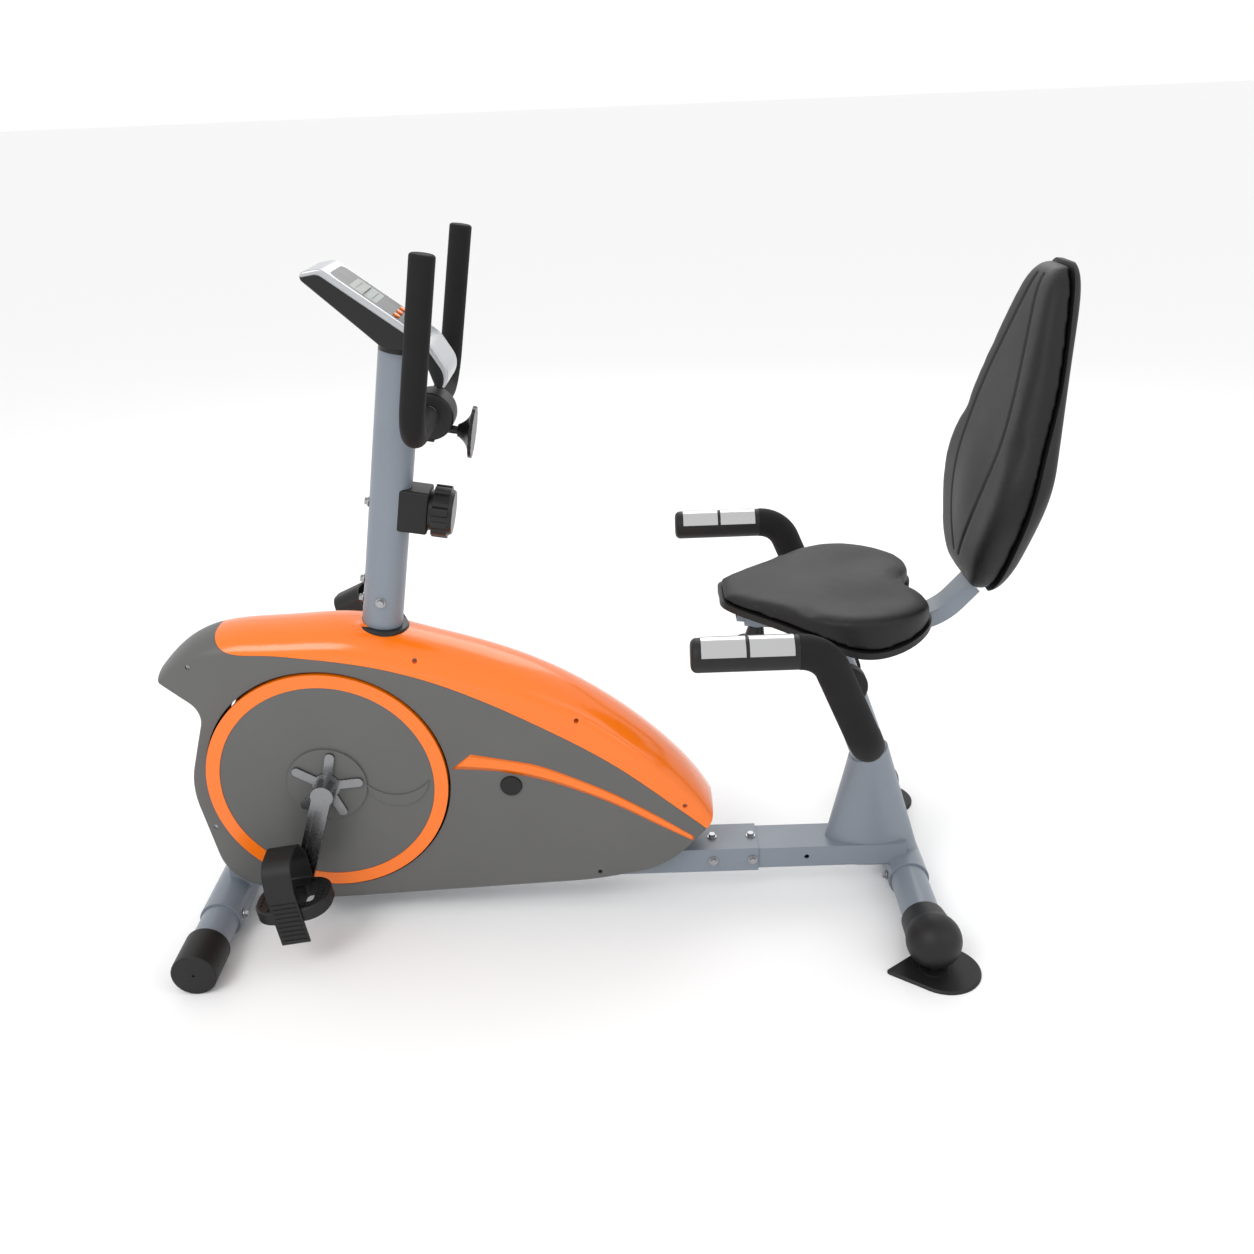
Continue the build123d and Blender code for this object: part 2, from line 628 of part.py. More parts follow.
with BuildPart() as casing_screws:
    for side in (-1, 1):
        with BuildSketch(Plane.XZ.offset(side * (SCREW_SEAT + TRIM))):
            with Locations(*SCREW_SPOTS):
                Circle(SCREW_HEAD_R)
        extrude(amount=side * 3)
        with BuildSketch(Plane.XZ.offset(side * (SCREW_SEAT + 2))):
            with Locations(*SCREW_SPOTS):
                RegularPolygon(1.8, 6)
        extrude(amount=side * 3, mode=Mode.SUBTRACT)
        with BuildSketch(Plane.XZ.offset(side * (SCREW_REACH + 1))):
            with Locations(*SCREW_SPOTS):
                Circle(SCREW_HEAD_R / 2 - FIT)
        extrude(amount=side * (SCREW_SEAT + 1 - SCREW_REACH - 1))
save(casing_screws, "casing_screws")

# push-in plugs over the flywheel's axle, the bumper under the beam, and the
# round covers where the handles' cross tube meets the seat post
BUMPER_X = -14.0
CROSS_COVER_R = 34.5
CROSS_COVER_END = 44.0
with BuildPart() as trim_plugs:
    for side in (-1, 1):
        with BuildSketch(Plane.XZ.offset(side * (CASE_HALF + TRIM))):
            with Locations(FLYWHEEL):
                Circle(PLUG_R)
        extrude(amount=side * 3.5, taper=20)
        with BuildSketch(Plane.XZ.offset(side * (CASE_HALF - CASE_WALL - 3))):
            with Locations(FLYWHEEL):
                Circle(PLUG_R - 2 - FIT)
        extrude(amount=side * (CASE_WALL + 3 + 1))
    with BuildSketch(Plane.XY.offset(BEAM_TOP - BEAM_HEIGHT - TRIM)):
        with Locations((BUMPER_X, 0)):
            RectangleRounded(26, 60, 8)
    extrude(amount=-9)
    with BuildPart(mode=Mode.PRIVATE) as cross_covers:
        with BuildSketch(across(*CROSS, -CROSS_COVER_END)):
            Circle(CROSS_COVER_R)
        extrude(amount=2 * CROSS_COVER_END)
        chamfer(cross_covers.edges().filter_by(GeomType.CIRCLE), 2)
        with BuildSketch(across(*CROSS, -CROSS_COVER_END)):
            Circle(HANDLE_R + FIT)
        extrude(amount=2 * CROSS_COVER_END, mode=Mode.SUBTRACT)
        with BuildSketch(lean_plane(POST_POINT, -POST_LEAN)):
            Circle(POST_R + TRIM)
        extrude(amount=POST_UP, mode=Mode.SUBTRACT)
        with Locations((CROSS[0], 0, CROSS[1])):
            Box(4 * CROSS_COVER_R, 2 * POST_R - 12, 4 * CROSS_COVER_R, mode=Mode.SUBTRACT)
    add(cross_covers)
save(trim_plugs, "trim_plugs")

# ---------------------------------------------------------------------- mast

MAST_HOLES = [Plane(seat, z_dir=outward) for seat, outward in MAST_BOLTS]
with BuildPart() as mast:
    with BuildSketch(MAST_PLANE.offset(TRIM)):
        Circle(MAST_R)
        Circle(MAST_R - MAST_WALL, mode=Mode.SUBTRACT)
    extrude(amount=MAST_LENGTH)
    for plane in MAST_HOLES:
        with BuildSketch(plane):
            Circle(BOLT_HOLE_R)
        extrude(amount=-5, mode=Mode.SUBTRACT)
    with BuildSketch(Plane(MAST_PLANE.offset(TENSION_UP).origin, z_dir=MAST_PLANE.x_dir)):
        Circle(7)
    extrude(amount=MAST_R + 2, mode=Mode.SUBTRACT)
save(mast, "mast")

# the socket under the mast stands out of the covers through this ring
COLLAR_UP = -3.0
with BuildPart() as mast_collar:
    with BuildSketch(MAST_PLANE.offset(COLLAR_UP)):
        Circle(COLLAR_R)
        Circle(MAST_R + FIT, mode=Mode.SUBTRACT)
    extrude(amount=-40)
    rim = mast_collar.faces().sort_by(Axis.Z)[-1].edges().filter_by(GeomType.CIRCLE)
    chamfer(rim.sort_by(SortBy.RADIUS)[-1], 2)
    add(outer_case, mode=Mode.SUBTRACT)
save(mast_collar, "mast_collar")

# ------------------------------------------------------------ tension control

TENSION_PLANE = Plane(
    origin=MAST_PLANE.offset(TENSION_UP).origin,
    x_dir=(0, 1, 0),
    z_dir=MAST_PLANE.x_dir,
)
BOX_BACK = MAST_R + TENSION_DEPTH - 15
with BuildPart() as tension_box:
    with BuildSketch(TENSION_PLANE.offset(14)):
        RectangleRounded(2 * TENSION_HALF, TENSION_HEIGHT, 4)
    extrude(amount=BOX_BACK - 14)
    chamfer(tension_box.faces().sort_by(Axis.X)[-1].edges(), 2)
    with BuildSketch(MAST_PLANE.offset(TENSION_UP - 60)):
        Circle(MAST_R + TRIM)
    extrude(amount=120, mode=Mode.SUBTRACT)
    with BuildSketch(TENSION_PLANE.offset(MAST_R - 2)):
        Circle(14)
    extrude(amount=BOX_BACK - MAST_R - 2, mode=Mode.SUBTRACT)
    with BuildSketch(TENSION_PLANE.offset(MAST_R)):
        Circle(5 + FIT)
    extrude(amount=BOX_BACK, mode=Mode.SUBTRACT)
save(tension_box, "tension_box")

KNOB_RIBS = 12
KNOB_NECK = 6.0
with BuildPart() as tension_knob:
    with BuildSketch(TENSION_PLANE.offset(BOX_BACK + GAP)):
        Circle(TENSION_KNOB_R * 0.78)
    extrude(amount=KNOB_NECK)
    with BuildSketch(TENSION_PLANE.offset(BOX_BACK + GAP + KNOB_NECK)):
        Circle(TENSION_KNOB_R)
    extrude(amount=TENSION_KNOB_LENGTH - 2 * KNOB_NECK)
    with BuildSketch(TENSION_PLANE.offset(BOX_BACK + GAP + KNOB_NECK)):
        with PolarLocations(TENSION_KNOB_R + 3, KNOB_RIBS):
            Circle(6)
    extrude(amount=TENSION_KNOB_LENGTH - 2 * KNOB_NECK, mode=Mode.SUBTRACT)
    with BuildSketch(TENSION_PLANE.offset(BOX_BACK + GAP + TENSION_KNOB_LENGTH - KNOB_NECK)):
        Circle(TENSION_KNOB_R * 0.9)
    extrude(amount=KNOB_NECK, taper=30)
    with BuildSketch(TENSION_PLANE.offset(MAST_R + 8)):
        Circle(5)
    extrude(amount=BOX_BACK - MAST_R - 8 + 2)
    with BuildSketch(TENSION_PLANE.offset(MAST_R + 8)):
        Circle(10)
    extrude(amount=6)
save(tension_knob, "tension_knob")

# the cable runs down the mast, out of the socket and over the flywheel
MAGNET_R = FLYWHEEL_R + MAGNET_GAP
BRACKET_END = MAGNET_PIVOT_ANGLE + MAGNET_SPAN


def round_flywheel(radius, angle):
    """A point round the flywheel's axle, as (x, 0, z)."""
    turn = radians(angle)
    return FLYWHEEL[0] + radius * cos(turn), 0, FLYWHEEL[1] + radius * sin(turn)


with BuildPart() as tension_cable:
    with BuildLine() as cable_line:
        FilletPolyline(
            TENSION_PLANE.offset(MAST_R + 8 - GAP).origin,
            MAST_PLANE.offset(TENSION_UP).origin + MAST_PLANE.x_dir * 6,
            MAST_PLANE.offset(CABLE_EXIT).origin + MAST_PLANE.x_dir * 6,
            round_flywheel(MAGNET_R + 36, 80),
            round_flywheel(MAGNET_R + 28, 40),
            round_flywheel(MAGNET_R + 6, BRACKET_END + 3),
            radius=(20, 30, 60, 60),
        )
    with BuildSketch(Plane(cable_line.line @ 0, z_dir=cable_line.line % 0)):
        Circle(1.6)
    sweep(path=cable_line.line)
save(tension_cable, "tension_cable")

# ----------------------------------------------------------------- handlebar

BAR_BEND = 52.0
BAR_PATH = (
    (BAR_X + BAR_LEAN, -BAR_HALF, BAR_TOP),
    (BAR_X, -BAR_HALF, BAR_Z),
    (BAR_X, BAR_HALF, BAR_Z),
    (BAR_X + BAR_LEAN, BAR_HALF, BAR_TOP),
)
FOAM_END = 44.0  # how near the middle the foam comes on the cross part
with BuildPart() as handlebar:
    with BuildLine() as bar_line:
        FilletPolyline(*BAR_PATH, radius=BAR_BEND)
    with BuildSketch(Plane(bar_line.line @ 0, z_dir=bar_line.line % 0)):
        Circle(BAR_R)
        Circle(BAR_R - TUBE_WALL, mode=Mode.SUBTRACT)
    sweep(path=bar_line.line)
save(handlebar, "handlebar")


def sleeve_on(line, inner, outer, tip=0.0):
    """A sleeve along a tube's line, closed and rounded at the start by a tip."""
    with BuildPart() as sleeve:
        with BuildSketch(Plane(line @ 0, z_dir=line % 0)):
            Circle(outer)
            Circle(inner, mode=Mode.SUBTRACT)
        sweep(path=line)
        if tip:
            with BuildSketch(Plane(line @ 0 - (line % 0) * TRIM, z_dir=-(line % 0))):
                Circle(outer)
            extrude(amount=tip)
            fillet(sleeve.faces().filter_by(GeomType.PLANE).sort_by_distance(line @ 1)[-1].edges(), tip * 0.8)
            with BuildSketch(Plane(line @ 0 + (line % 0) * 2, z_dir=-(line % 0))):
                Circle(outer)
                Circle(inner, mode=Mode.SUBTRACT)
            extrude(amount=2.5)
    return sleeve.part


with BuildPart() as handlebar_grips:
    for end in (0, 3):
        with BuildLine() as foam_line:
            FilletPolyline(
                BAR_PATH[end],
                BAR_PATH[1 if end == 0 else 2],
                (BAR_X, -FOAM_END if end == 0 else FOAM_END, BAR_Z),
                radius=BAR_BEND,
            )
        add(sleeve_on(foam_line.line, BAR_R + FIT, FOAM_R, 5))
save(handlebar_grips, "handlebar_grips")

CLAMP_DROP = 24.0
CLAMP_AXIS = Plane(
    origin=Vector(BAR_X, 0, BAR_Z) - MAST_PLANE.z_dir * CLAMP_DROP,
    x_dir=(0, 1, 0),
    z_dir=MAST_PLANE.x_dir,
)
STEM_R = 6.0
with BuildPart() as handlebar_clamp:
    with BuildSketch(across(BAR_X, BAR_Z - 4, -CLAMP_HALF)):
        Circle(CLAMP_R)
    extrude(amount=2 * CLAMP_HALF)
    fillet(handlebar_clamp.edges().filter_by(GeomType.CIRCLE), 5)
    with BuildSketch(CLAMP_AXIS.offset(-30)):
        Rectangle(2 * CLAMP_HALF - 8, 34)
    extrude(amount=40)
    with BuildSketch(MAST_PLANE.offset(250)):
        Circle(MAST_R + TRIM)
    extrude(amount=160, mode=Mode.SUBTRACT)
    with BuildSketch(across(BAR_X, BAR_Z, -CLAMP_HALF)):
        Circle(BAR_R + FIT)
    extrude(amount=2 * CLAMP_HALF, mode=Mode.SUBTRACT)
    with BuildSketch(CLAMP_AXIS):
        Circle(STEM_R + FIT)
    extrude(amount=60, mode=Mode.SUBTRACT)
save(handlebar_clamp, "handlebar_clamp")

KNOB_START = 41.0
with BuildPart() as clamp_knob:
    with BuildSketch(CLAMP_AXIS.offset(4)):
        Circle(STEM_R)
    extrude(amount=KNOB_START - 3)
    for up, radius in ((0, 9), (9, 15), (19, CLAMP_KNOB_R)):
        with BuildSketch(CLAMP_AXIS.offset(KNOB_START + up)):
            Circle(radius)
    loft()
    with BuildSketch(CLAMP_AXIS.offset(KNOB_START + 19)):
        Circle(CLAMP_KNOB_R)
        with PolarLocations(CLAMP_KNOB_R + 2, 16):
            Circle(4, mode=Mode.SUBTRACT)
    extrude(amount=5)
save(clamp_knob, "clamp_knob")

# ------------------------------------------------------------------- console

# Side view, clockwise from the tip; the panel lies on the second side
CONSOLE_SIDE = (
    (-384, 1056), (-345, 1062), (-205, 955), (-180, 912), (-198, 882), (-206, 898),
    (-216, 931), (-240, 947), (-272, 950), (-297, 974),
)
CONSOLE_RADII = (8, 18, 40, 30, 8, 6, 24, 14, 14, 20)
CONSOLE_SKIN = 6.0
PANEL_EDGE = 43.0
PANEL_TOP, PANEL_FOOT = (Vector(x, 0, z) for x, z in CONSOLE_SIDE[1:3])
slope = (PANEL_FOOT - PANEL_TOP).normalized()
PANEL_NORMAL = Vector(-slope.Z, 0, slope.X)


def panel_plane(share, depth=0.0):
    """A plane on the console's face, a share of the way down, sunk by a depth."""
    point = PANEL_TOP + (PANEL_FOOT - PANEL_TOP) * share - PANEL_NORMAL * depth
    return Plane(origin=point, x_dir=(0, 1, 0), z_dir=PANEL_NORMAL)


with BuildPart(mode=Mode.PRIVATE) as console_form:
    with BuildSketch(Plane.XZ.offset(-CONSOLE_HALF)):
        with BuildLine():
            FilletPolyline(*CONSOLE_SIDE, CONSOLE_SIDE[0], radius=CONSOLE_RADII)
        make_face()
    extrude(amount=2 * CONSOLE_HALF)
    fillet(console_form.faces().filter_by(Axis.Y).edges(), 3)
console_skin = console_form.part - console_form.part.moved(Location(PANEL_NORMAL * -CONSOLE_SKIN))
console_core = console_form.part & console_form.part.moved(Location(PANEL_NORMAL * -(CONSOLE_SKIN + TRIM)))
BUTTON_SHARE = 0.66
BUTTON_ROW = 26.0
WINDOW_SHARE = 0.36
WINDOW_SIZE = (66.0, 44.0)
WINDOW_DEPTH = 2.0
PANEL_LENGTH = 150.0

with BuildPart() as console_back:
    add(console_core)
    with BuildSketch(MAST_PLANE.offset(MAST_LENGTH + 2 * TRIM)):
        Circle(MAST_R)
    extrude(amount=24)
    with BuildSketch(MAST_PLANE.offset(MAST_LENGTH - 30)):
        Circle(MAST_R - MAST_WALL - FIT)
    extrude(amount=32)
save(console_back, "console_back")

with BuildPart(mode=Mode.PRIVATE) as panel_block:
    with BuildSketch(panel_plane(0.5)):
        RectangleRounded(2 * PANEL_EDGE, PANEL_LENGTH, 12)
    extrude(amount=20, both=True)
with BuildPart(mode=Mode.PRIVATE) as panel_gap:
    with BuildSketch(panel_plane(0.5)):
        RectangleRounded(2 * (PANEL_EDGE + SEAM), PANEL_LENGTH + 2 * SEAM, 12 + SEAM)
    extrude(amount=20, both=True)

with BuildPart() as console_frame:
    add(console_skin)
    add(panel_gap.part, mode=Mode.SUBTRACT)
save(console_frame, "console_frame")

with BuildPart() as console_panel:
    add(console_skin)
    add(panel_block.part, mode=Mode.INTERSECT)
    with BuildSketch(panel_plane(WINDOW_SHARE)):
        RectangleRounded(*WINDOW_SIZE, 4)
    extrude(amount=-WINDOW_DEPTH, mode=Mode.SUBTRACT)
    with BuildSketch(panel_plane(BUTTON_SHARE)):
        with Locations((-BUTTON_ROW, 0), (0, 0), (BUTTON_ROW, 0)):
            Circle(BUTTON_R + FIT)
    extrude(amount=-2 * CONSOLE_SKIN, mode=Mode.SUBTRACT)
save(console_panel, "console_panel")

with BuildPart() as console_window:
    with BuildSketch(panel_plane(WINDOW_SHARE, WINDOW_DEPTH - TRIM)):
        RectangleRounded(WINDOW_SIZE[0] - 2 * FIT, WINDOW_SIZE[1] - 2 * FIT, 4)
    extrude(amount=WINDOW_DEPTH - TRIM)
save(console_window, "console_window")

for number, across_panel in enumerate((-BUTTON_ROW, 0.0, BUTTON_ROW), start=1):
    with BuildPart() as button:
        with BuildSketch(panel_plane(BUTTON_SHARE, CONSOLE_SKIN - BUTTON_TRAVEL - 0.4)):
            with Locations((across_panel, 0)):
                Circle(BUTTON_R)
        extrude(amount=CONSOLE_SKIN - BUTTON_TRAVEL - 0.4 + 2.5)
        fillet(button.faces().sort_by(Axis.Z)[-1].edges(), 1)
    save(button, f"console_button_{number}")

# --------------------------------------------------------------- drive train


def ring(x, z, y_start, length, outer, inner=0.0, mode=Mode.ADD):
    """A disc or ring across the bike, from y_start along +Y, for the open part."""
    with BuildSketch(across(x, z, y_start)) as disc:
        Circle(outer)
        if inner:
            Circle(inner, mode=Mode.SUBTRACT)
    extrude(disc.sketch, amount=length, mode=mode)


BEARING_LENGTH = 12.0
with BuildPart() as crank_bearings:
    for y_start in (-HOUSING_HALF, HOUSING_HALF - BEARING_LENGTH):
        ring(*CRANK, y_start, BEARING_LENGTH, BEARING_R, AXLE_R + FIT)
save(crank_bearings, "crank_bearings")

AXLE_END = ARM_OUTER - 12
with BuildPart() as crank_axle:
    ring(*CRANK, -AXLE_END, 2 * AXLE_END, AXLE_R)
    ring(*CRANK, HOUSING_HALF - BEARING_LENGTH - 6, 6 - GAP, AXLE_R + 3)
    chamfer(crank_axle.edges().filter_by(GeomType.CIRCLE).group_by(Axis.Y)[0], 1)
save(crank_axle, "crank_axle")

FLANGE = 1.5
FLANGE_RISE = 3.0
PULLEY_HOLES = 5
belt_start = BELT_Y - BELT_WIDTH / 2
with BuildPart() as drive_pulley:
    ring(*CRANK, belt_start - GAP, BELT_WIDTH + 2 * GAP, PULLEY_R, PULLEY_R - 8)
    for flange_y in (belt_start - GAP - FLANGE, belt_start + BELT_WIDTH + GAP):
        ring(*CRANK, flange_y, FLANGE, PULLEY_R + FLANGE_RISE, PULLEY_R - 8)
    ring(*CRANK, BELT_Y - 2, 4, PULLEY_R - 7)
    ring(*CRANK, belt_start - GAP, BELT_WIDTH + 6, 20)
    with BuildSketch(across(*CRANK, BELT_Y - 2)):
        with PolarLocations(PULLEY_R * 0.6, PULLEY_HOLES):
            Circle(17)
    extrude(amount=4, mode=Mode.SUBTRACT)
    ring(*CRANK, belt_start - 10, 30, AXLE_R + TRIM, mode=Mode.SUBTRACT)
save(drive_pulley, "drive_pulley")


def belt_loop(grow):
    """The belt's outline round both pulleys, grown by its thickness or not."""
    ends = []
    upper_normal = 2 * atan2(FLYWHEEL[1] - CRANK[1], FLYWHEEL[0] - CRANK[0]) - RUN_NORMAL
    for normal in (upper_normal, RUN_NORMAL):
        for (x, z), radius in ((CRANK, BELT_INNER_1 + grow), (FLYWHEEL, BELT_INNER_2 + grow)):
            ends.append((x + radius * cos(normal) - CRANK[0], CRANK[1] - z - radius * sin(normal)))
    with BuildSketch(across(*CRANK, belt_start)) as loop:
        Circle(BELT_INNER_1 + grow)
        with Locations((FLYWHEEL[0] - CRANK[0], CRANK[1] - FLYWHEEL[1])):
            Circle(BELT_INNER_2 + grow)
        Polygon(ends[0], ends[1], ends[3], ends[2], align=None)
    return loop.sketch


with BuildPart() as drive_belt:
    extrude(belt_loop(BELT_THICK), amount=BELT_WIDTH)
    extrude(belt_loop(0), amount=BELT_WIDTH, mode=Mode.SUBTRACT)
save(drive_belt, "drive_belt")

HUB_END = FORK_RIGHT - GAP
with BuildPart() as flywheel:
    ring(*FLYWHEEL, -FLYWHEEL_HALF, 2 * FLYWHEEL_HALF, FLYWHEEL_R, FLYWHEEL_R - 26)
    chamfer(flywheel.edges().filter_by(GeomType.CIRCLE), 1.5)
    ring(*FLYWHEEL, -5, 10, FLYWHEEL_R - 25)
    ring(*FLYWHEEL, GAP - FORK_INNER, FORK_INNER + HUB_END - GAP, 13)
    ring(*FLYWHEEL, belt_start - GAP, BELT_WIDTH + 2 * GAP, HUB_PULLEY_R)
    for flange_y in (belt_start - GAP - FLANGE, belt_start + BELT_WIDTH + GAP):
        ring(*FLYWHEEL, flange_y, FLANGE, HUB_PULLEY_R + FLANGE_RISE)
    ring(*FLYWHEEL, -60, 120, FLY_AXLE_R + FIT, mode=Mode.SUBTRACT)
save(flywheel, "flywheel")

NUT_THICK = 5.0
with BuildPart() as flywheel_axle:
    ring(*FLYWHEEL, -FORK_INNER - FORK_PLATE - 2, FORK_INNER + 2 * FORK_PLATE + FORK_RIGHT + 4, FLY_AXLE_R)
    for nut_y in (-FORK_INNER - FORK_PLATE - TRIM - NUT_THICK, FORK_RIGHT + FORK_PLATE + TRIM):
        with BuildSketch(across(*FLYWHEEL, nut_y)):
            RegularPolygon(11, 6)
        extrude(amount=NUT_THICK)
save(flywheel_axle, "flywheel_axle")

# the idler arm, hung on its lug, with its roller under the belt
PIN_R = PIVOT_R - 1
ARM_Y = LUG_INNER + LUG_THICK + GAP
ARM_PLATE = 4.0
PIN_HEAD = 2.0
ROLLER_HALF = 6.0
arm_span = hypot(IDLER[0] - IDLER_PIVOT[0], IDLER[1] - IDLER_PIVOT[1])
arm_plane = Plane(
    origin=(IDLER_PIVOT[0], ARM_Y, IDLER_PIVOT[1]),
    x_dir=(IDLER[0] - IDLER_PIVOT[0], 0, IDLER[1] - IDLER_PIVOT[1]),
    z_dir=(0, 1, 0),
)
with BuildPart() as idler_arm:
    with BuildSketch(arm_plane):
        with Locations((arm_span / 2, 0)):
            SlotCenterToCenter(arm_span, 20)
    extrude(amount=ARM_PLATE)
    ring(*IDLER_PIVOT, LUG_INNER - 2, ARM_Y - LUG_INNER + 3, PIN_R)
    ring(*IDLER_PIVOT, LUG_INNER - GAP - PIN_HEAD, PIN_HEAD, PIVOT_R + 2)
    ring(*IDLER, ARM_Y, BELT_Y + ROLLER_HALF + 3 - ARM_Y, PIN_R)
    ring(*IDLER, ARM_Y, BELT_Y - ROLLER_HALF - GAP - ARM_Y, PIN_R + 3)
    ring(*IDLER, BELT_Y + ROLLER_HALF + GAP, 3, PIN_R + 3)
save(idler_arm, "idler_arm")

with BuildPart() as idler_roller:
    ring(*IDLER, BELT_Y - ROLLER_HALF, 2 * ROLLER_HALF, IDLER_R, PIN_R + FIT)
    chamfer(idler_roller.edges().filter_by(GeomType.CIRCLE).group_by(SortBy.RADIUS)[-1], 1)
save(idler_roller, "idler_roller")

SPRING_X = (IDLER[0] + IDLER_PIVOT[0]) / 2
SPRING_TOP = (IDLER[1] + IDLER_PIVOT[1]) / 2 - 16
SPRING_COILS = 9
with BuildPart() as idler_spring:
    spring_pitch = (SPRING_TOP - BEAM_TOP - 3) / SPRING_COILS
    with BuildLine():
        coil = Helix(spring_pitch, SPRING_TOP - BEAM_TOP - 3, 5, center=(SPRING_X, ARM_Y + 2, BEAM_TOP + 1.3))
    with BuildSketch(Plane(coil @ 0, z_dir=coil % 0)):
        Circle(1.2)
    sweep(path=coil, is_frenet=True)
save(idler_spring, "idler_spring")

# the bracket hangs behind the rim and holds its magnets a small gap away
MAGNET_THICK = 7.0
BRACKET_START = MAGNET_PIVOT_ANGLE + 2
with BuildPart() as magnet_bracket:
    with BuildSketch(across(*FLYWHEEL, -BRACKET_HALF)):
        Circle(MAGNET_R + MAGNET_THICK)
        Circle(MAGNET_R, mode=Mode.SUBTRACT)
        with BuildLine():
            reach = 2 * MAGNET_R
            spread = [
                (reach * cos(radians(-a)), reach * sin(radians(-a)))
                for a in (BRACKET_START, (BRACKET_START + BRACKET_END) / 2, BRACKET_END)
            ]
            Polyline((0, 0), *spread, close=True)
        make_face(mode=Mode.INTERSECT)
    extrude(amount=2 * BRACKET_HALF)
    ring(*MAGNET_PIVOT, -BRACKET_HALF, 2 * BRACKET_HALF, PIVOT_R + 5)
    ring(*FLYWHEEL, -60, 120, MAGNET_R, mode=Mode.SUBTRACT)
    ring(*MAGNET_PIVOT, -BRACKET_HALF - GAP - LUG_THICK, 2 * (BRACKET_HALF + GAP + LUG_THICK), PIN_R)
save(magnet_bracket, "magnet_bracket")

# --------------------------------------------- cranks, discs, pedals, straps


def pedal_point(side):
    """The pedal axle of one side, as (x, z): -1 is left."""
    turn = radians(CRANK_ANGLE)
    return CRANK[0] - side * CRANK_ARM * cos(turn), CRANK[1] - side * CRANK_ARM * sin(turn)


def sided(side, start, length):
    """A span along Y at one side, as its lower y and its length."""
    return (start if side > 0 else -start - length), length


ARM_TIP_R = 14.5
SPIDER_ARMS = 5
with BuildPart() as crank_arms:
    for side in (-1, 1):
        tip = pedal_point(side)
        arm_start, arm_length = sided(side, ARM_OUTER - ARM_THICK, ARM_THICK)
        middle = ((CRANK[0] + tip[0]) / 2, (CRANK[1] + tip[1]) / 2)
        arm_side = Plane(
            origin=(middle[0], arm_start, middle[1]),
            x_dir=(tip[0] - CRANK[0], 0, tip[1] - CRANK[1]),
            z_dir=(0, 1, 0),
        )
        with BuildSketch(arm_side):
            Trapezoid(CRANK_ARM, 2 * BOSS_R - 2, 90, 90)
            with Locations((CRANK_ARM / 2, 0)):
                Circle(ARM_TIP_R)
        extrude(amount=arm_length)
        ring(*CRANK, *sided(side, SPIDER_Y, ARM_OUTER - SPIDER_Y), BOSS_R + 2)
        spider_start, spider_length = sided(side, SPIDER_Y, SPIDER_THICK)
        with BuildSketch(across(*CRANK, spider_start)):
            Circle(BOSS_R + 6)
            with PolarLocations(SPIDER_REACH / 2, SPIDER_ARMS, start_angle=-77):
                Rectangle(SPIDER_REACH, 15)
            with PolarLocations(SPIDER_REACH, SPIDER_ARMS, start_angle=-77):
                Circle(7.5)
        extrude(amount=spider_length)
        flute_start, flute_length = sided(side, ARM_OUTER - 3, 3.5)
        with BuildSketch(arm_side.offset(flute_start - arm_start)):
            SlotCenterToCenter(CRANK_ARM - 66, 13)
        extrude(amount=flute_length, mode=Mode.SUBTRACT)
        ring(*tip, *sided(side, ARM_OUTER - 40, 60), PEDAL_AXLE_R + TRIM, mode=Mode.SUBTRACT)
        ring(*CRANK, *sided(side, 60, AXLE_END + TRIM - 60), AXLE_R + TRIM, mode=Mode.SUBTRACT)
save(crank_arms, "crank_arms")

DISC_START = DISC_FACE - DISC_SKIN
DISC_HUB_R = SPIDER_REACH + 12
SWIRL_RIBS = 3
with BuildPart() as disc_covers:
    for side in (-1, 1):
        ring(*CRANK, *sided(side, DISC_START, DISC_SKIN), RING_INNER)
        ring(*CRANK, *sided(side, DISC_START, SPIDER_Y - TRIM - DISC_START), DISC_HUB_R)
        swirl_start, swirl_length = sided(side, DISC_FACE - 1, 3)
        with BuildSketch(across(*CRANK, swirl_start)):
            with PolarLocations(0, SWIRL_RIBS, start_angle=20):
                with BuildLine():
                    rib_start = (DISC_HUB_R - 3, 0)
                    rib_end = (RING_INNER - 8, 0)
                    ThreePointArc(rib_start, (RING_INNER * 0.62, RING_INNER * 0.26), rib_end)
                    ThreePointArc(rib_end, (RING_INNER * 0.62, RING_INNER * 0.14), rib_start)
                make_face()
        extrude(amount=swirl_length)
        ring(*CRANK, *sided(side, DISC_START - 5, 20), BOSS_R + 3, mode=Mode.SUBTRACT)
save(disc_covers, "disc_covers")

RING_LIP = 3.0
RING_DEPTH = 10.0
with BuildPart() as disc_rings:
    for side in (-1, 1):
        ring(*CRANK, *sided(side, DISC_START, DISC_SKIN + 1), DISC_R, RING_INNER + TRIM)
        ring(*CRANK, *sided(side, DISC_START - RING_DEPTH, RING_DEPTH + 1), DISC_R, DISC_R - RING_LIP)
        ring(*CRANK, *sided(side, DISC_START - RING_LIP, RING_LIP - TRIM), DISC_R, RING_INNER - 6)
save(disc_rings, "disc_rings")

SHOULDER_R = 9.0
AXLE_LENGTH = PEDAL_INNER + PEDAL_WIDTH - 10
with BuildPart() as pedal_axles:
    for side in (-1, 1):
        tip = pedal_point(side)
        ring(*tip, *sided(side, ARM_OUTER - ARM_THICK, AXLE_LENGTH - ARM_OUTER + ARM_THICK), PEDAL_AXLE_R)
        ring(*tip, *sided(side, ARM_OUTER + TRIM, PEDAL_INNER - GAP - ARM_OUTER - TRIM), SHOULDER_R)
save(pedal_axles, "pedal_axles")

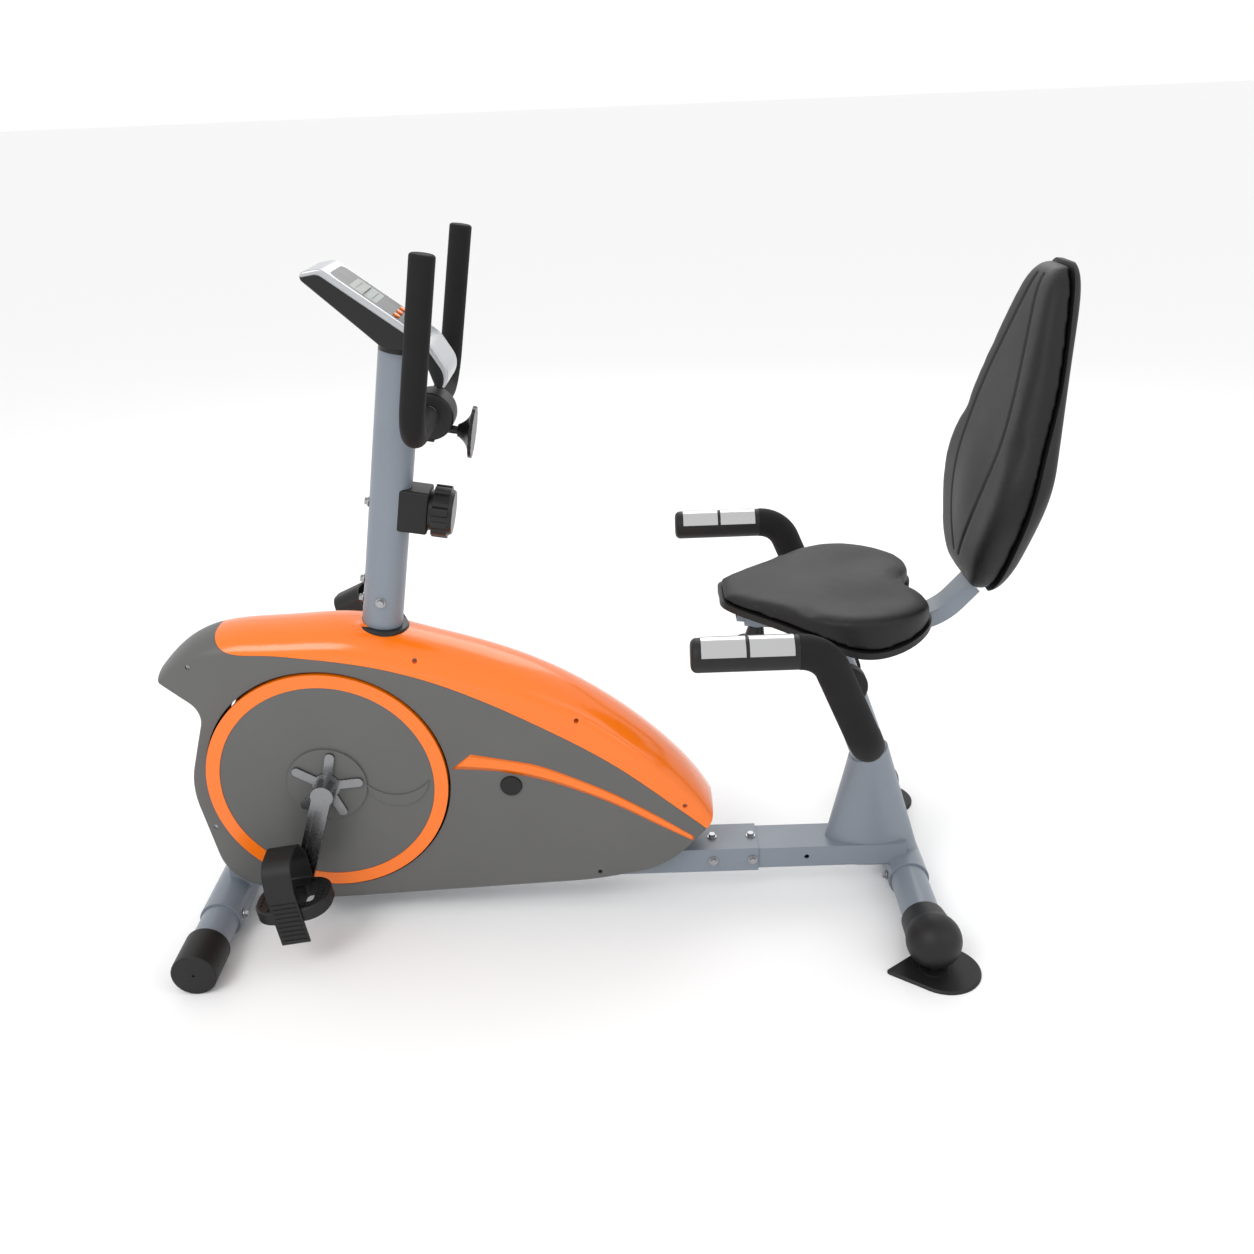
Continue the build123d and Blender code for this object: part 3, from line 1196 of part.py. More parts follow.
PEDAL_WINDOW = (26.0, 50.0)
STRAP_FOOT = 26.0
for side, name in ((-1, "left"), (1, "right")):
    tip = pedal_point(side)
    tilt = radians(PEDAL_TILT[name])
    middle_y = side * (PEDAL_INNER + PEDAL_WIDTH / 2)
    level = Plane(
        origin=(tip[0], middle_y, tip[1]), x_dir=(cos(tilt), 0, sin(tilt)), z_dir=(-sin(tilt), 0, cos(tilt))
    )
    with BuildPart() as pedal:
        with BuildSketch(level.offset(-PEDAL_THICK / 2)):
            RectangleRounded(PEDAL_LENGTH, PEDAL_WIDTH, 0.42 * PEDAL_WIDTH)
        extrude(amount=PEDAL_THICK)
        chamfer(pedal.faces().sort_by(Axis.Z)[-1].edges() + pedal.faces().sort_by(Axis.Z)[0].edges(), 2.5)
        with BuildSketch(level.offset(-PEDAL_THICK)):
            with GridLocations(PEDAL_WINDOW[0] + 24, 0, 2, 1):
                RectangleRounded(*PEDAL_WINDOW, 6)
        extrude(amount=2 * PEDAL_THICK, mode=Mode.SUBTRACT)
        bore_span = sided(side, PEDAL_INNER - 1, AXLE_LENGTH - PEDAL_INNER + 1 + GAP)
        ring(*tip, *bore_span, PEDAL_AXLE_R + FIT, mode=Mode.SUBTRACT)
    save(pedal, f"pedal_{name}")

    outward = Vector(0, side, 0)
    base = Vector(tip[0], side * PEDAL_INNER, tip[1])
    top = PEDAL_THICK / 2 + STRAP_THICK / 2 + TRIM
    outer = PEDAL_WIDTH + STRAP_THICK / 2 + TRIM
    profile = (
        (STRAP_FOOT, top), (4, top), (-1, 0.55 * STRAP_RISE), (0.2 * PEDAL_WIDTH, STRAP_RISE),
        (0.86 * PEDAL_WIDTH, 0.94 * STRAP_RISE), (outer, 0.5 * STRAP_RISE), (outer, -2 * PEDAL_THICK),
    )
    with BuildPart() as strap:
        with BuildLine() as strap_line:
            FilletPolyline(
                *[base + outward * along + level.z_dir * up for along, up in profile],
                radius=(6, 24, 26, 28, 30),
            )
        with BuildSketch(Plane(strap_line.line @ 0, x_dir=level.x_dir, z_dir=strap_line.line % 0)):
            Rectangle(STRAP_WIDTH, STRAP_THICK)
        sweep(path=strap_line.line)
    save(strap, f"strap_{name}")

# ---------------------------------------------------------------------- seat

rail_turn = radians(-RAIL_TILT)
RAIL_PLANE = Plane(
    origin=(RAIL_START[0], 0, RAIL_START[1]), x_dir=(0, 1, 0), z_dir=(cos(rail_turn), 0, sin(rail_turn))
)
RAIL_BEND = 100.0
RAIL_CORNER = (530.0, RAIL_START[1] + (530.0 - RAIL_START[0]) * sin(rail_turn) / cos(rail_turn))
RAIL_TOP = (588.0, 550.0)
PLATE_THICK = 6.0
PLATE_WIDTH = 44.0
PLATE_LINE = ((584, 546), (607, 584), (638, 790))


def plate_strip(grow):
    """The flat plate that carries the backrest, as a solid grown by a clearance."""
    half = PLATE_THICK / 2 + grow
    with BuildPart() as strip:
        with BuildSketch(Plane.XZ.offset(-PLATE_WIDTH / 2 - grow)):
            with BuildLine():
                front = [(x - half, z) for x, z in PLATE_LINE]
                back = [(x + half, z) for x, z in reversed(PLATE_LINE)]
                lift = [(front[-1][0], front[-1][1] + grow), (back[0][0], back[0][1] + grow)]
                Polyline(*front[:-1], *lift, *back[1:], close=True)
            make_face()
        extrude(amount=PLATE_WIDTH + 2 * grow)
    return strip.part


with BuildPart() as seat_rail:
    with BuildLine() as rail_line:
        FilletPolyline(
            *[(x, 0, z) for x, z in (RAIL_START, RAIL_CORNER, RAIL_TOP)],
            radius=RAIL_BEND,
        )
    with BuildSketch(RAIL_PLANE):
        RectangleRounded(RAIL_WIDTH, RAIL_HEIGHT, 3)
        RectangleRounded(RAIL_WIDTH - 2 * RAIL_WALL, RAIL_HEIGHT - 2 * RAIL_WALL, 2, mode=Mode.SUBTRACT)
    sweep(path=rail_line.line)
    with BuildSketch(Plane(rail_line.line @ 1, x_dir=(0, 1, 0), z_dir=rail_line.line % 1)):
        RectangleRounded(RAIL_WIDTH, RAIL_HEIGHT, 3)
    extrude(amount=-3)
    add(plate_strip(0))
save(seat_rail, "seat_rail")

CARRIAGE_OUTER = RAIL_WIDTH + 2 * (FIT + CARRIAGE_WALL)
CARRIAGE_LIP = 4.0  # how far the carriage stops below the rail's top
SLEEVE_ON_POST = 24.0
KNOB_ALONG = 34.0
LOCK_STEM_R = 5.0
with BuildPart() as seat_carriage:
    with BuildSketch(RAIL_PLANE.offset(CARRIAGE_START)):
        with Locations((0, -CARRIAGE_LIP / 2 - CARRIAGE_WALL / 2 - FIT / 2)):
            Rectangle(CARRIAGE_OUTER, RAIL_HEIGHT + CARRIAGE_WALL + FIT - CARRIAGE_LIP)
    extrude(amount=CARRIAGE_LENGTH)
    with BuildSketch(lean_plane(POST_POINT, -POST_LEAN, POST_UP - SLEEVE_ON_POST)):
        Circle(POST_R + 4)
    extrude(amount=SLEEVE_ON_POST + 14)
    lock_plane = Plane(
        origin=RAIL_PLANE.offset(KNOB_ALONG).origin - RAIL_PLANE.y_dir * (RAIL_HEIGHT / 2 + FIT),
        x_dir=(0, 1, 0),
        z_dir=-RAIL_PLANE.y_dir,
    )
    with BuildSketch(lock_plane):
        Circle(11)
    extrude(amount=CARRIAGE_WALL + 10)
    with BuildSketch(RAIL_PLANE.offset(-20)):
        with Locations((0, 30)):
            Rectangle(RAIL_WIDTH + 2 * FIT, RAIL_HEIGHT + 60 + 2 * FIT)
    extrude(amount=CARRIAGE_LENGTH + 80, mode=Mode.SUBTRACT)
    with BuildSketch(lean_plane(POST_POINT, -POST_LEAN, POST_UP - SLEEVE_ON_POST - 5)):
        Circle(POST_R + TRIM)
    extrude(amount=SLEEVE_ON_POST + 5 + TRIM, mode=Mode.SUBTRACT)
    with BuildSketch(lock_plane.offset(-1)):
        Circle(LOCK_STEM_R + FIT)
    extrude(amount=40, mode=Mode.SUBTRACT)
save(seat_carriage, "seat_carriage")

LOCK_KNOB_DROP = 42.0
LOCK_KNOB_THICK = 22.0
with BuildPart() as seat_lock_knob:
    with BuildSketch(lock_plane.offset(GAP)):
        Circle(LOCK_STEM_R)
    extrude(amount=LOCK_KNOB_DROP)
    with BuildSketch(lock_plane.offset(CARRIAGE_WALL + 10 + GAP)):
        Circle(12)
    extrude(amount=LOCK_KNOB_DROP - CARRIAGE_WALL - 10, taper=-12)
    with BuildSketch(lock_plane.offset(LOCK_KNOB_DROP)):
        Circle(LOCK_KNOB_R)
        with PolarLocations(LOCK_KNOB_R + 6, 6):
            Circle(9, mode=Mode.SUBTRACT)
    extrude(amount=LOCK_KNOB_THICK)
    chamfer(seat_lock_knob.faces().sort_by(Axis.Z)[0].edges(), 2)
save(seat_lock_knob, "seat_lock_knob")

# Plan of the right half of the seat, from the nose to the notch at the back
SEAT_PLAN = (
    (197, 0), (199, 38), (214, 58), (262, 98), (330, 153), (392, SEAT_HALF + 2), (450, 160),
    (488, 130), (508, 92), (502, 44), (484, 0),
)
# Side view of the pan's underside
PAN_LINE = ((190, 538), (217, 534), (343, 517), (384, 506), (442, 505), (492, 515), (520, 524))
PAD_LINE = ((190, 556), (217, 558), (260, 559), (390, 563), (450, 563), (500, 560), (520, 557))

with BuildPart(mode=Mode.PRIVATE) as seat_plan:
    with BuildSketch(Plane.XY.offset(480)):
        with BuildLine():
            half_plan = Spline(*SEAT_PLAN, tangents=((0, 1), (0, -1)), tangent_scalars=(1, 1))
            mirror(half_plan, about=Plane.XZ)
        make_face()
    extrude(amount=120)


def seat_layer(low_line, low_shift, high_line, high_shift):
    """A slab between two side-view curves, raised by shifts."""
    with BuildPart() as layer:
        with BuildSketch(Plane.XZ.offset(-SEAT_HALF - 20)):
            with BuildLine():
                low = Spline(*[(x, z + low_shift) for x, z in low_line])
                high = Spline(*[(x, z + high_shift) for x, z in high_line])
                Line(low @ 0, high @ 0)
                Line(low @ 1, high @ 1)
            make_face()
        extrude(amount=2 * SEAT_HALF + 40)
    return layer.part


with BuildPart() as seat_pan:
    add(seat_plan.part & seat_layer(PAN_LINE, 0, PAN_LINE, PAN_THICK))
    with BuildSketch(RAIL_PLANE.offset(-80)):
        with Locations((0, RAIL_HEIGHT / 2 + TRIM - 30)):
            Rectangle(CARRIAGE_OUTER + 4, 60)
    extrude(amount=500, mode=Mode.SUBTRACT)
save(seat_pan, "seat_pan")

with BuildPart() as seat_pad:
    add(seat_plan.part & seat_layer(PAN_LINE, PAN_THICK + GAP, PAD_LINE, 0))
save(seat_pad, "seat_pad")

# ------------------------------------------------------------------ backrest

# Height, half width, front and back of the backrest
BACK_SECTIONS = (
    (560, 66, 574, 604), (585, 100, 566, 616), (630, 128, 565, 629), (690, 158, 570, 639),
    (735, 167, 578, 648), (780, 156, 590, 656), (840, 136, 605, 664), (900, 116, 620, 672),
    (960, 88, 635, 684), (1005, 64, 648, 690), (1028, 34, 662, 688),
)
BACK_PART = 42.0  # depth of the pad, from front to shell
with BuildPart(mode=Mode.PRIVATE) as back_form:
    for height, half, front_x, back_x in BACK_SECTIONS:
        with BuildSketch(Plane.XY.offset(height)):
            with Locations(((front_x + back_x) / 2, 0)):
                RectangleRounded(back_x - front_x, 2 * half, 0.42 * (back_x - front_x))
    loft()


def back_region(shift):
    """Everything behind the line between pad and shell, shifted back."""
    with BuildPart() as region:
        with BuildSketch(Plane.XZ.offset(-200)):
            with BuildLine():
                line = Spline(
                    *[
                        (front_x + min(BACK_PART, 0.72 * (back_x - front_x)) + shift, height)
                        for height, half, front_x, back_x in (BACK_SECTIONS[0], *BACK_SECTIONS[2::2])
                    ]
                )
                above = (line @ 1) + (0, 40)
                below = (line @ 0) - (0, 20)
                Polyline(line @ 1, above, (760, above.Y), (760, below.Y), below, line @ 0)
            make_face()
        extrude(amount=400)
    return region.part


with BuildPart() as backrest_pad:
    add(back_form.part - back_region(0))
    add(plate_strip(GAP), mode=Mode.SUBTRACT)
save(backrest_pad, "backrest_pad")

with BuildPart() as backrest_shell:
    add(back_form.part & back_region(GAP))
    add(plate_strip(TRIM), mode=Mode.SUBTRACT)
save(backrest_shell, "backrest_shell")

# -------------------------------------------------------------- rear handles

HANDLE_TOP_X = 320.0
HANDLE_BEND = 50.0
GRIP_R = 24.0
HANDLE_FOOT_Y = 258.0
HANDLE_PATH = (
    (GRIP_START + 6, -HANDLE_Y, HANDLE_Z),
    (HANDLE_TOP_X, -HANDLE_Y, HANDLE_Z),
    (CROSS[0], -HANDLE_FOOT_Y, CROSS[1]),
    (CROSS[0], HANDLE_FOOT_Y, CROSS[1]),
    (HANDLE_TOP_X, HANDLE_Y, HANDLE_Z),
    (GRIP_START + 6, HANDLE_Y, HANDLE_Z),
)
with BuildPart() as handle_tube:
    with BuildLine() as handle_line:
        FilletPolyline(*HANDLE_PATH, radius=HANDLE_BEND)
    with BuildSketch(Plane(handle_line.line @ 0, z_dir=handle_line.line % 0)):
        Circle(HANDLE_R)
        Circle(HANDLE_R - TUBE_WALL, mode=Mode.SUBTRACT)
    sweep(path=handle_line.line)
save(handle_tube, "handle_tube")

with BuildPart() as pulse_grips:
    with BuildSketch(Plane(origin=(GRIP_START, -HANDLE_Y, HANDLE_Z), z_dir=(1, 0, 0))):
        Circle(GRIP_R)
    extrude(amount=GRIP_END - GRIP_START)
    fillet(pulse_grips.faces().sort_by(Axis.X)[0].edges(), 9)
    with BuildSketch(Plane(origin=(GRIP_START + 6 - TRIM, -HANDLE_Y, HANDLE_Z), z_dir=(1, 0, 0))):
        Circle(HANDLE_R + FIT)
    extrude(amount=GRIP_END, mode=Mode.SUBTRACT)
    mirror(about=Plane.XZ)
save(pulse_grips, "pulse_grips")

PLATE_SKIN = 1.2
with BuildPart() as pulse_plates:
    for plate_x in (GRIP_START + 14, GRIP_END - PLATE_LENGTH - 8):
        with BuildSketch(Plane(origin=(plate_x, -HANDLE_Y, HANDLE_Z), x_dir=(0, 1, 0), z_dir=(1, 0, 0))):
            Circle(GRIP_R + TRIM + PLATE_SKIN)
            Circle(GRIP_R + TRIM, mode=Mode.SUBTRACT)
            with Locations((0, -GRIP_R)):
                Rectangle(4 * GRIP_R, 2 * GRIP_R + 12, mode=Mode.SUBTRACT)
        extrude(amount=PLATE_LENGTH)
    mirror(about=Plane.XZ)
save(pulse_plates, "pulse_plates")

with BuildPart() as handle_foam:
    with BuildLine() as soft_line:
        FilletPolyline(
            (GRIP_END + TRIM, -HANDLE_Y, HANDLE_Z),
            *HANDLE_PATH[1:3],
            (CROSS[0], HANDLE_BEND + 5 - HANDLE_FOOT_Y, CROSS[1]),
            radius=HANDLE_BEND,
        )
    with BuildSketch(Plane(soft_line.line @ 0, z_dir=soft_line.line % 0)):
        Circle(HANDLE_FOAM_R)
        Circle(HANDLE_R + FIT, mode=Mode.SUBTRACT)
    sweep(path=soft_line.line)
    mirror(about=Plane.XZ)
save(handle_foam, "handle_foam")
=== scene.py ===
"""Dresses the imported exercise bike: finishes, padded vinyl, graphics, pedal grips and a studio."""

import json
import logging
from collections.abc import Callable
from dataclasses import dataclass, field
from enum import Enum
from math import cos, exp, pi, radians, sin

import bmesh
import bpy
from mathutils import Matrix, Vector
from mathutils.bvhtree import BVHTree


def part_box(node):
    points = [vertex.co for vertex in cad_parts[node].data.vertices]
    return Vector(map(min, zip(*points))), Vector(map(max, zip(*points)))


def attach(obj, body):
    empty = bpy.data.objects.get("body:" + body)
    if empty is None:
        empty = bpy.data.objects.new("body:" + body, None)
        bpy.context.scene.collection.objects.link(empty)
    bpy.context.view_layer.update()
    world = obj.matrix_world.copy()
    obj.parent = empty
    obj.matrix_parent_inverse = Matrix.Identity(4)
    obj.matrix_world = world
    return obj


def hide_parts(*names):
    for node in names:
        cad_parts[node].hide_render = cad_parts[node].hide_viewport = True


MM = 0.001
LOG = logging.getLogger("exercise_bike")


def linear(code: str) -> tuple[float, float, float, float]:
    """Turns an sRGB hex colour to linear light.

    Args:
        code: six hex digits, such as "FF7A00".

    Returns:
        Linear red, green and blue, and an alpha of 1.
    """
    parts = [int(code[i : i + 2], 16) / 255 for i in (0, 2, 4)]
    return (*[p / 12.92 if p <= 0.04045 else ((p + 0.055) / 1.055) ** 2.4 for p in parts], 1.0)


def add_node(tree: bpy.types.NodeTree, kind: str, settings: dict | None = None, **inputs) -> bpy.types.Node:
    """Adds a node with its settings and inputs.

    Args:
        tree: the node tree.
        kind: the node's type name.
        settings: attributes of the node itself.
        inputs: socket values or output sockets to link, by socket name with _ for a space,
            or i0, i1 and so on for a socket by its place.

    Returns:
        The new node.
    """
    node = tree.nodes.new(kind)
    for name, value in (settings or {}).items():
        setattr(node, name, value)
    for name, value in inputs.items():
        socket = node.inputs[int(name[1:])] if name[1:].isdigit() else node.inputs[name.replace("_", " ")]
        if isinstance(value, bpy.types.NodeSocket):
            tree.links.new(value, socket)
        else:
            socket.default_value = value
    return node


class Grain(Enum):
    """How a surface is textured."""

    SMOOTH = "smooth"
    ORANGE_PEEL = "orange peel"
    SPARK = "spark-eroded mould grain"
    VINYL = "embossed vinyl"
    FOAM = "closed-cell foam"
    BRUSHED = "brushed metal"


@dataclass(frozen=True)
class Finish:
    """One material, from what it is and how its surface was made."""

    name: str
    colour: str
    roughness: float
    grain: Grain = Grain.SMOOTH
    grain_mm: float = 1.0
    depth_mm: float = 0.05
    shade: float = 0.12  # how much darker the colour gets in its clouds
    cloud_mm: float = 60.0
    metallic: float = 0.0
    specular: float = 0.5
    coat: float = 0.0
    edge_mm: float = 0.8  # how round the moulded or pressed edges look

    def material(self) -> bpy.types.Material:
        """Builds the node material, once.

        Returns:
            The material, made the first time it is asked for.
        """
        if self.name in bpy.data.materials:
            return bpy.data.materials[self.name]
        material = bpy.data.materials.new(self.name)
        material.use_nodes = True
        tree = material.node_tree
        tree.nodes.clear()
        place = add_node(tree, "ShaderNodeTexCoord").outputs["Object"]
        base = linear(self.colour)
        dark = (*[c * (1 - self.shade) for c in base[:3]], 1.0)
        cloud = add_node(
            tree, "ShaderNodeTexNoise", Vector=place, Scale=1 / (self.cloud_mm * MM), Detail=4.0,
            Roughness=0.6,
        )
        colour = add_node(
            tree, "ShaderNodeMix", {"data_type": "RGBA"}, i0=cloud.outputs[0], i6=base, i7=dark
        )
        rough = add_node(
            tree, "ShaderNodeMapRange", Value=cloud.outputs[0],
            To_Min=max(self.roughness - 0.06, 0.02), To_Max=min(self.roughness + 0.08, 1.0),
        )
        normal = add_node(tree, "ShaderNodeBevel", {"samples": 3}, Radius=self.edge_mm * MM).outputs[0]
        height = self.height(tree, place)
        if height is not None:
            normal = add_node(
                tree, "ShaderNodeBump", Strength=1.0, Distance=self.depth_mm * MM, Height=height,
                Normal=normal,
            ).outputs[0]
        shader = add_node(
            tree, "ShaderNodeBsdfPrincipled", Base_Color=colour.outputs[2], Roughness=rough.outputs[0],
            Metallic=self.metallic, Coat_Weight=self.coat, Coat_Roughness=0.08, Normal=normal,
            Specular_IOR_Level=self.specular,
        )
        add_node(tree, "ShaderNodeOutputMaterial", Surface=shader.outputs[0])
        return material

    def height(self, tree: bpy.types.NodeTree, place: bpy.types.NodeSocket) -> bpy.types.NodeSocket | None:
        """Adds the height pattern of the finish's grain.

        Args:
            tree: the material's tree.
            place: the object coordinates.

        Returns:
            The height, or None on a smooth surface.
        """
        scale = 1 / (self.grain_mm * MM)
        if self.grain is Grain.SMOOTH:
            return None
        if self.grain is Grain.VINYL:
            cells = add_node(
                tree, "ShaderNodeTexVoronoi", {"feature": "DISTANCE_TO_EDGE"}, Vector=place, Scale=scale
            )
            creases = add_node(tree, "ShaderNodeMapRange", Value=cells.outputs["Distance"], From_Max=0.25)
            return creases.outputs[0]
        if self.grain is Grain.BRUSHED:
            drawn = add_node(tree, "ShaderNodeMapping", Vector=place, Scale=(scale, scale * 0.04, scale))
            lines = add_node(tree, "ShaderNodeTexNoise", Vector=drawn.outputs[0], Scale=1.0, Detail=3.0)
            return lines.outputs[0]
        if self.grain is Grain.FOAM:
            pores = add_node(tree, "ShaderNodeTexVoronoi", Vector=place, Scale=scale, Randomness=1.0)
            return pores.outputs["Distance"]
        detail = 1.0 if self.grain is Grain.ORANGE_PEEL else 5.0
        return add_node(tree, "ShaderNodeTexNoise", Vector=place, Scale=scale, Detail=detail).outputs[0]


# High-gloss injection-moulded ABS: deep colour, sharp lights, a faint orange peel
ORANGE_ABS = Finish("orange_gloss_abs", "F47300", 0.24, Grain.ORANGE_PEEL, 6.0, 0.03, 0.08, 180, coat=0.35)
# Satin ABS from a spark-eroded mould, which scatters the light
GREY_ABS = Finish("grey_satin_abs", "5C5C5B", 0.42, Grain.SPARK, 0.9, 0.03, 0.14, 140, specular=0.45)
# Epoxy powder coat over steel tube, with the soft ripple that it dries with
POWDER_COAT = Finish("blue_grey_powder_coat", "7C848E", 0.34, Grain.ORANGE_PEEL, 2.2, 0.04, 0.12, 110)
# Black polypropylene, grained so that it hides scratches
BLACK_PP = Finish("black_polypropylene", "171717", 0.5, Grain.SPARK, 0.8, 0.05, 0.25, 50, specular=0.35)
# Glossier black ABS of the knobs and the console's back
BLACK_ABS = Finish("black_abs", "131313", 0.33, Grain.SPARK, 0.7, 0.02, 0.2, 60, specular=0.4)
# NBR foam sleeve; its pores are drawn at 1.2 mm, coarser than real, so that they show
NBR_FOAM = Finish(
    "black_nbr_foam", "141414", 0.72, Grain.FOAM, 1.2, 0.12, 0.2, 35, specular=0.25, edge_mm=2.0
)
# PVC vinyl skin with a leather emboss; its creases are drawn at 2.4 mm so that they show
VINYL = Finish(
    "black_embossed_vinyl", "151515", 0.5, Grain.VINYL, 2.4, 0.10, 0.22, 90, specular=0.32, edge_mm=1.5
)
# Silver lacquer over ABS
SILVER_LACQUER = Finish(
    "silver_lacquer", "B9BBBE", 0.3, Grain.ORANGE_PEEL, 3.0, 0.02, 0.06, 80, 0.6, coat=0.2
)
# Dull nickel plate of the crank's spider and arms
NICKEL = Finish("dull_nickel_plate", "8E8F91", 0.26, Grain.BRUSHED, 0.6, 0.02, 0.1, 30, 1.0, edge_mm=0.5)
# Chrome-plated and polished sheet steel of the pulse plates
CHROME = Finish("chrome_plate", "C4C4C5", 0.16, Grain.SMOOTH, shade=0.05, metallic=1.0, edge_mm=0.4)
# Bright zinc plate on bolts and axles
ZINC = Finish("zinc_plate", "A9AAAC", 0.3, Grain.BRUSHED, 0.5, 0.02, 0.15, 12, 1.0, edge_mm=0.4)
# Cast iron flywheel, its rim turned on a lathe
CAST_IRON = Finish("turned_cast_iron", "55565A", 0.4, Grain.BRUSHED, 0.8, 0.05, 0.2, 60, 0.9)
# Grey-green liquid crystal behind a clear window
DISPLAY = Finish("display_glass", "7D8681", 0.3, Grain.SMOOTH, shade=0.08, cloud_mm=30, specular=0.3)
# Screen-printed marks on the display and the panel
INK = Finish("dark_ink", "1B211F", 0.4, Grain.SMOOTH, shade=0.05, edge_mm=0.1)
PALE_INK = Finish("pale_ink", "B9BCBE", 0.45, Grain.SMOOTH, shade=0.05, edge_mm=0.1)

NODE_FINISHES: dict[Finish, tuple[str, ...]] = {
    ORANGE_ABS: (
        "top_cover_left", "top_cover_right", "disc_rings", "console_button_1", "console_button_2",
        "console_button_3",
    ),
    GREY_ABS: ("casing_left", "casing_right", "disc_covers"),
    POWDER_COAT: (
        "front_frame", "rear_frame", "front_stabiliser", "rear_stabiliser", "mast", "handlebar",
        "handle_tube", "seat_carriage", "seat_rail",
    ),
    BLACK_PP: (
        "front_end_caps", "rear_end_caps", "levelling_foot_left", "levelling_foot_right", "trim_plugs",
        "pulse_grips", "pedal_left", "pedal_right", "strap_left", "strap_right", "seat_pan",
        "backrest_shell", "handlebar_clamp", "tension_box", "tension_cable", "drive_belt", "drive_pulley", "idler_roller",
    ),
    BLACK_ABS: (
        "tension_knob", "clamp_knob", "seat_lock_knob", "console_back", "console_panel", "mast_collar",
    ),
    NBR_FOAM: ("handlebar_grips", "handle_foam"),
    VINYL: ("seat_pad", "backrest_pad"),
    SILVER_LACQUER: ("console_frame",),
    CHROME: ("pulse_plates",),
    NICKEL: ("crank_arms",),
    ZINC: (
        "frame_bolts", "casing_screws", "crank_bearings", "crank_axle", "pedal_axles", "flywheel_axle",
        "idler_spring", "idler_arm", "magnet_bracket",
    ),
    CAST_IRON: ("flywheel",),
    DISPLAY: ("console_window",),
}


def finish_mesh(
    name: str, mesh: bpy.types.Mesh, finish: Finish, body: str, smooth: bool = True
) -> bpy.types.Object:
    """Makes a piece of a mesh, dresses it and sets it on its body.

    Args:
        name: the piece's name.
        mesh: the mesh, in place.
        finish: what it is made of.
        body: the CAD body it rides on.
        smooth: whether its faces are shaded smooth.

    Returns:
        The new object.
    """
    mesh.name = name
    mesh.materials.clear()
    mesh.materials.append(finish.material())
    for polygon in mesh.polygons:
        polygon.use_smooth = smooth
        polygon.material_index = 0
    piece = bpy.data.objects.new(name, mesh)
    bpy.context.scene.collection.objects.link(piece)
    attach(piece, body)
    LOG.info("%s: %d faces on %s", name, len(mesh.polygons), body)
    return piece


def merged_copy(node: str) -> bpy.types.Mesh:
    """Copies a CAD node's mesh with its doubles merged.

    Args:
        node: the CAD node's name.

    Returns:
        The welded copy.
    """
    mesh = FRAME["nodes"][node].data.copy()
    form = bmesh.new()
    form.from_mesh(mesh)
    bmesh.ops.remove_doubles(form, verts=form.verts, dist=0.01 * MM)
    form.to_mesh(mesh)
    form.free()
    return mesh


def baked(piece: bpy.types.Object) -> bpy.types.Mesh:
    """Turns an object with its modifiers into a plain mesh.

    Args:
        piece: the object.

    Returns:
        A new mesh of the evaluated object.
    """
    depsgraph = bpy.context.evaluated_depsgraph_get()
    return bpy.data.meshes.new_from_object(piece.evaluated_get(depsgraph))


def surface_of(*nodes: str) -> BVHTree:
    """Makes a search tree of CAD nodes' faces.

    Args:
        nodes: the CAD nodes.

    Returns:
        One tree of all their triangles.
    """
    points: list[Vector] = []
    faces: list[tuple[int, ...]] = []
    for node in nodes:
        mesh = FRAME["nodes"][node].data
        start = len(points)
        points += [v.co.copy() for v in mesh.vertices]
        faces += [tuple(start + i for i in p.vertices) for p in mesh.polygons]
    return BVHTree.FromPolygons(points, faces)


@dataclass
class CadDress:
    """The finishes of the CAD nodes, whose shapes stay."""

    crease: float = radians(32)

    def dress(self) -> None:
        """Gives each node its material and smooth shading between its hard edges."""
        for finish, nodes in NODE_FINISHES.items():
            for name in nodes:
                node = FRAME["nodes"][name]
                node.data.materials.clear()
                node.data.materials.append(finish.material())
                for polygon in node.data.polygons:
                    polygon.use_smooth = True
                    polygon.material_index = 0
                weld = node.modifiers.new("weld", "WELD")
                weld.merge_threshold = 0.01 * MM
                split = node.modifiers.new("hard_edges", "EDGE_SPLIT")
                split.split_angle = self.crease
                LOG.info("%s: %s", name, finish.name)


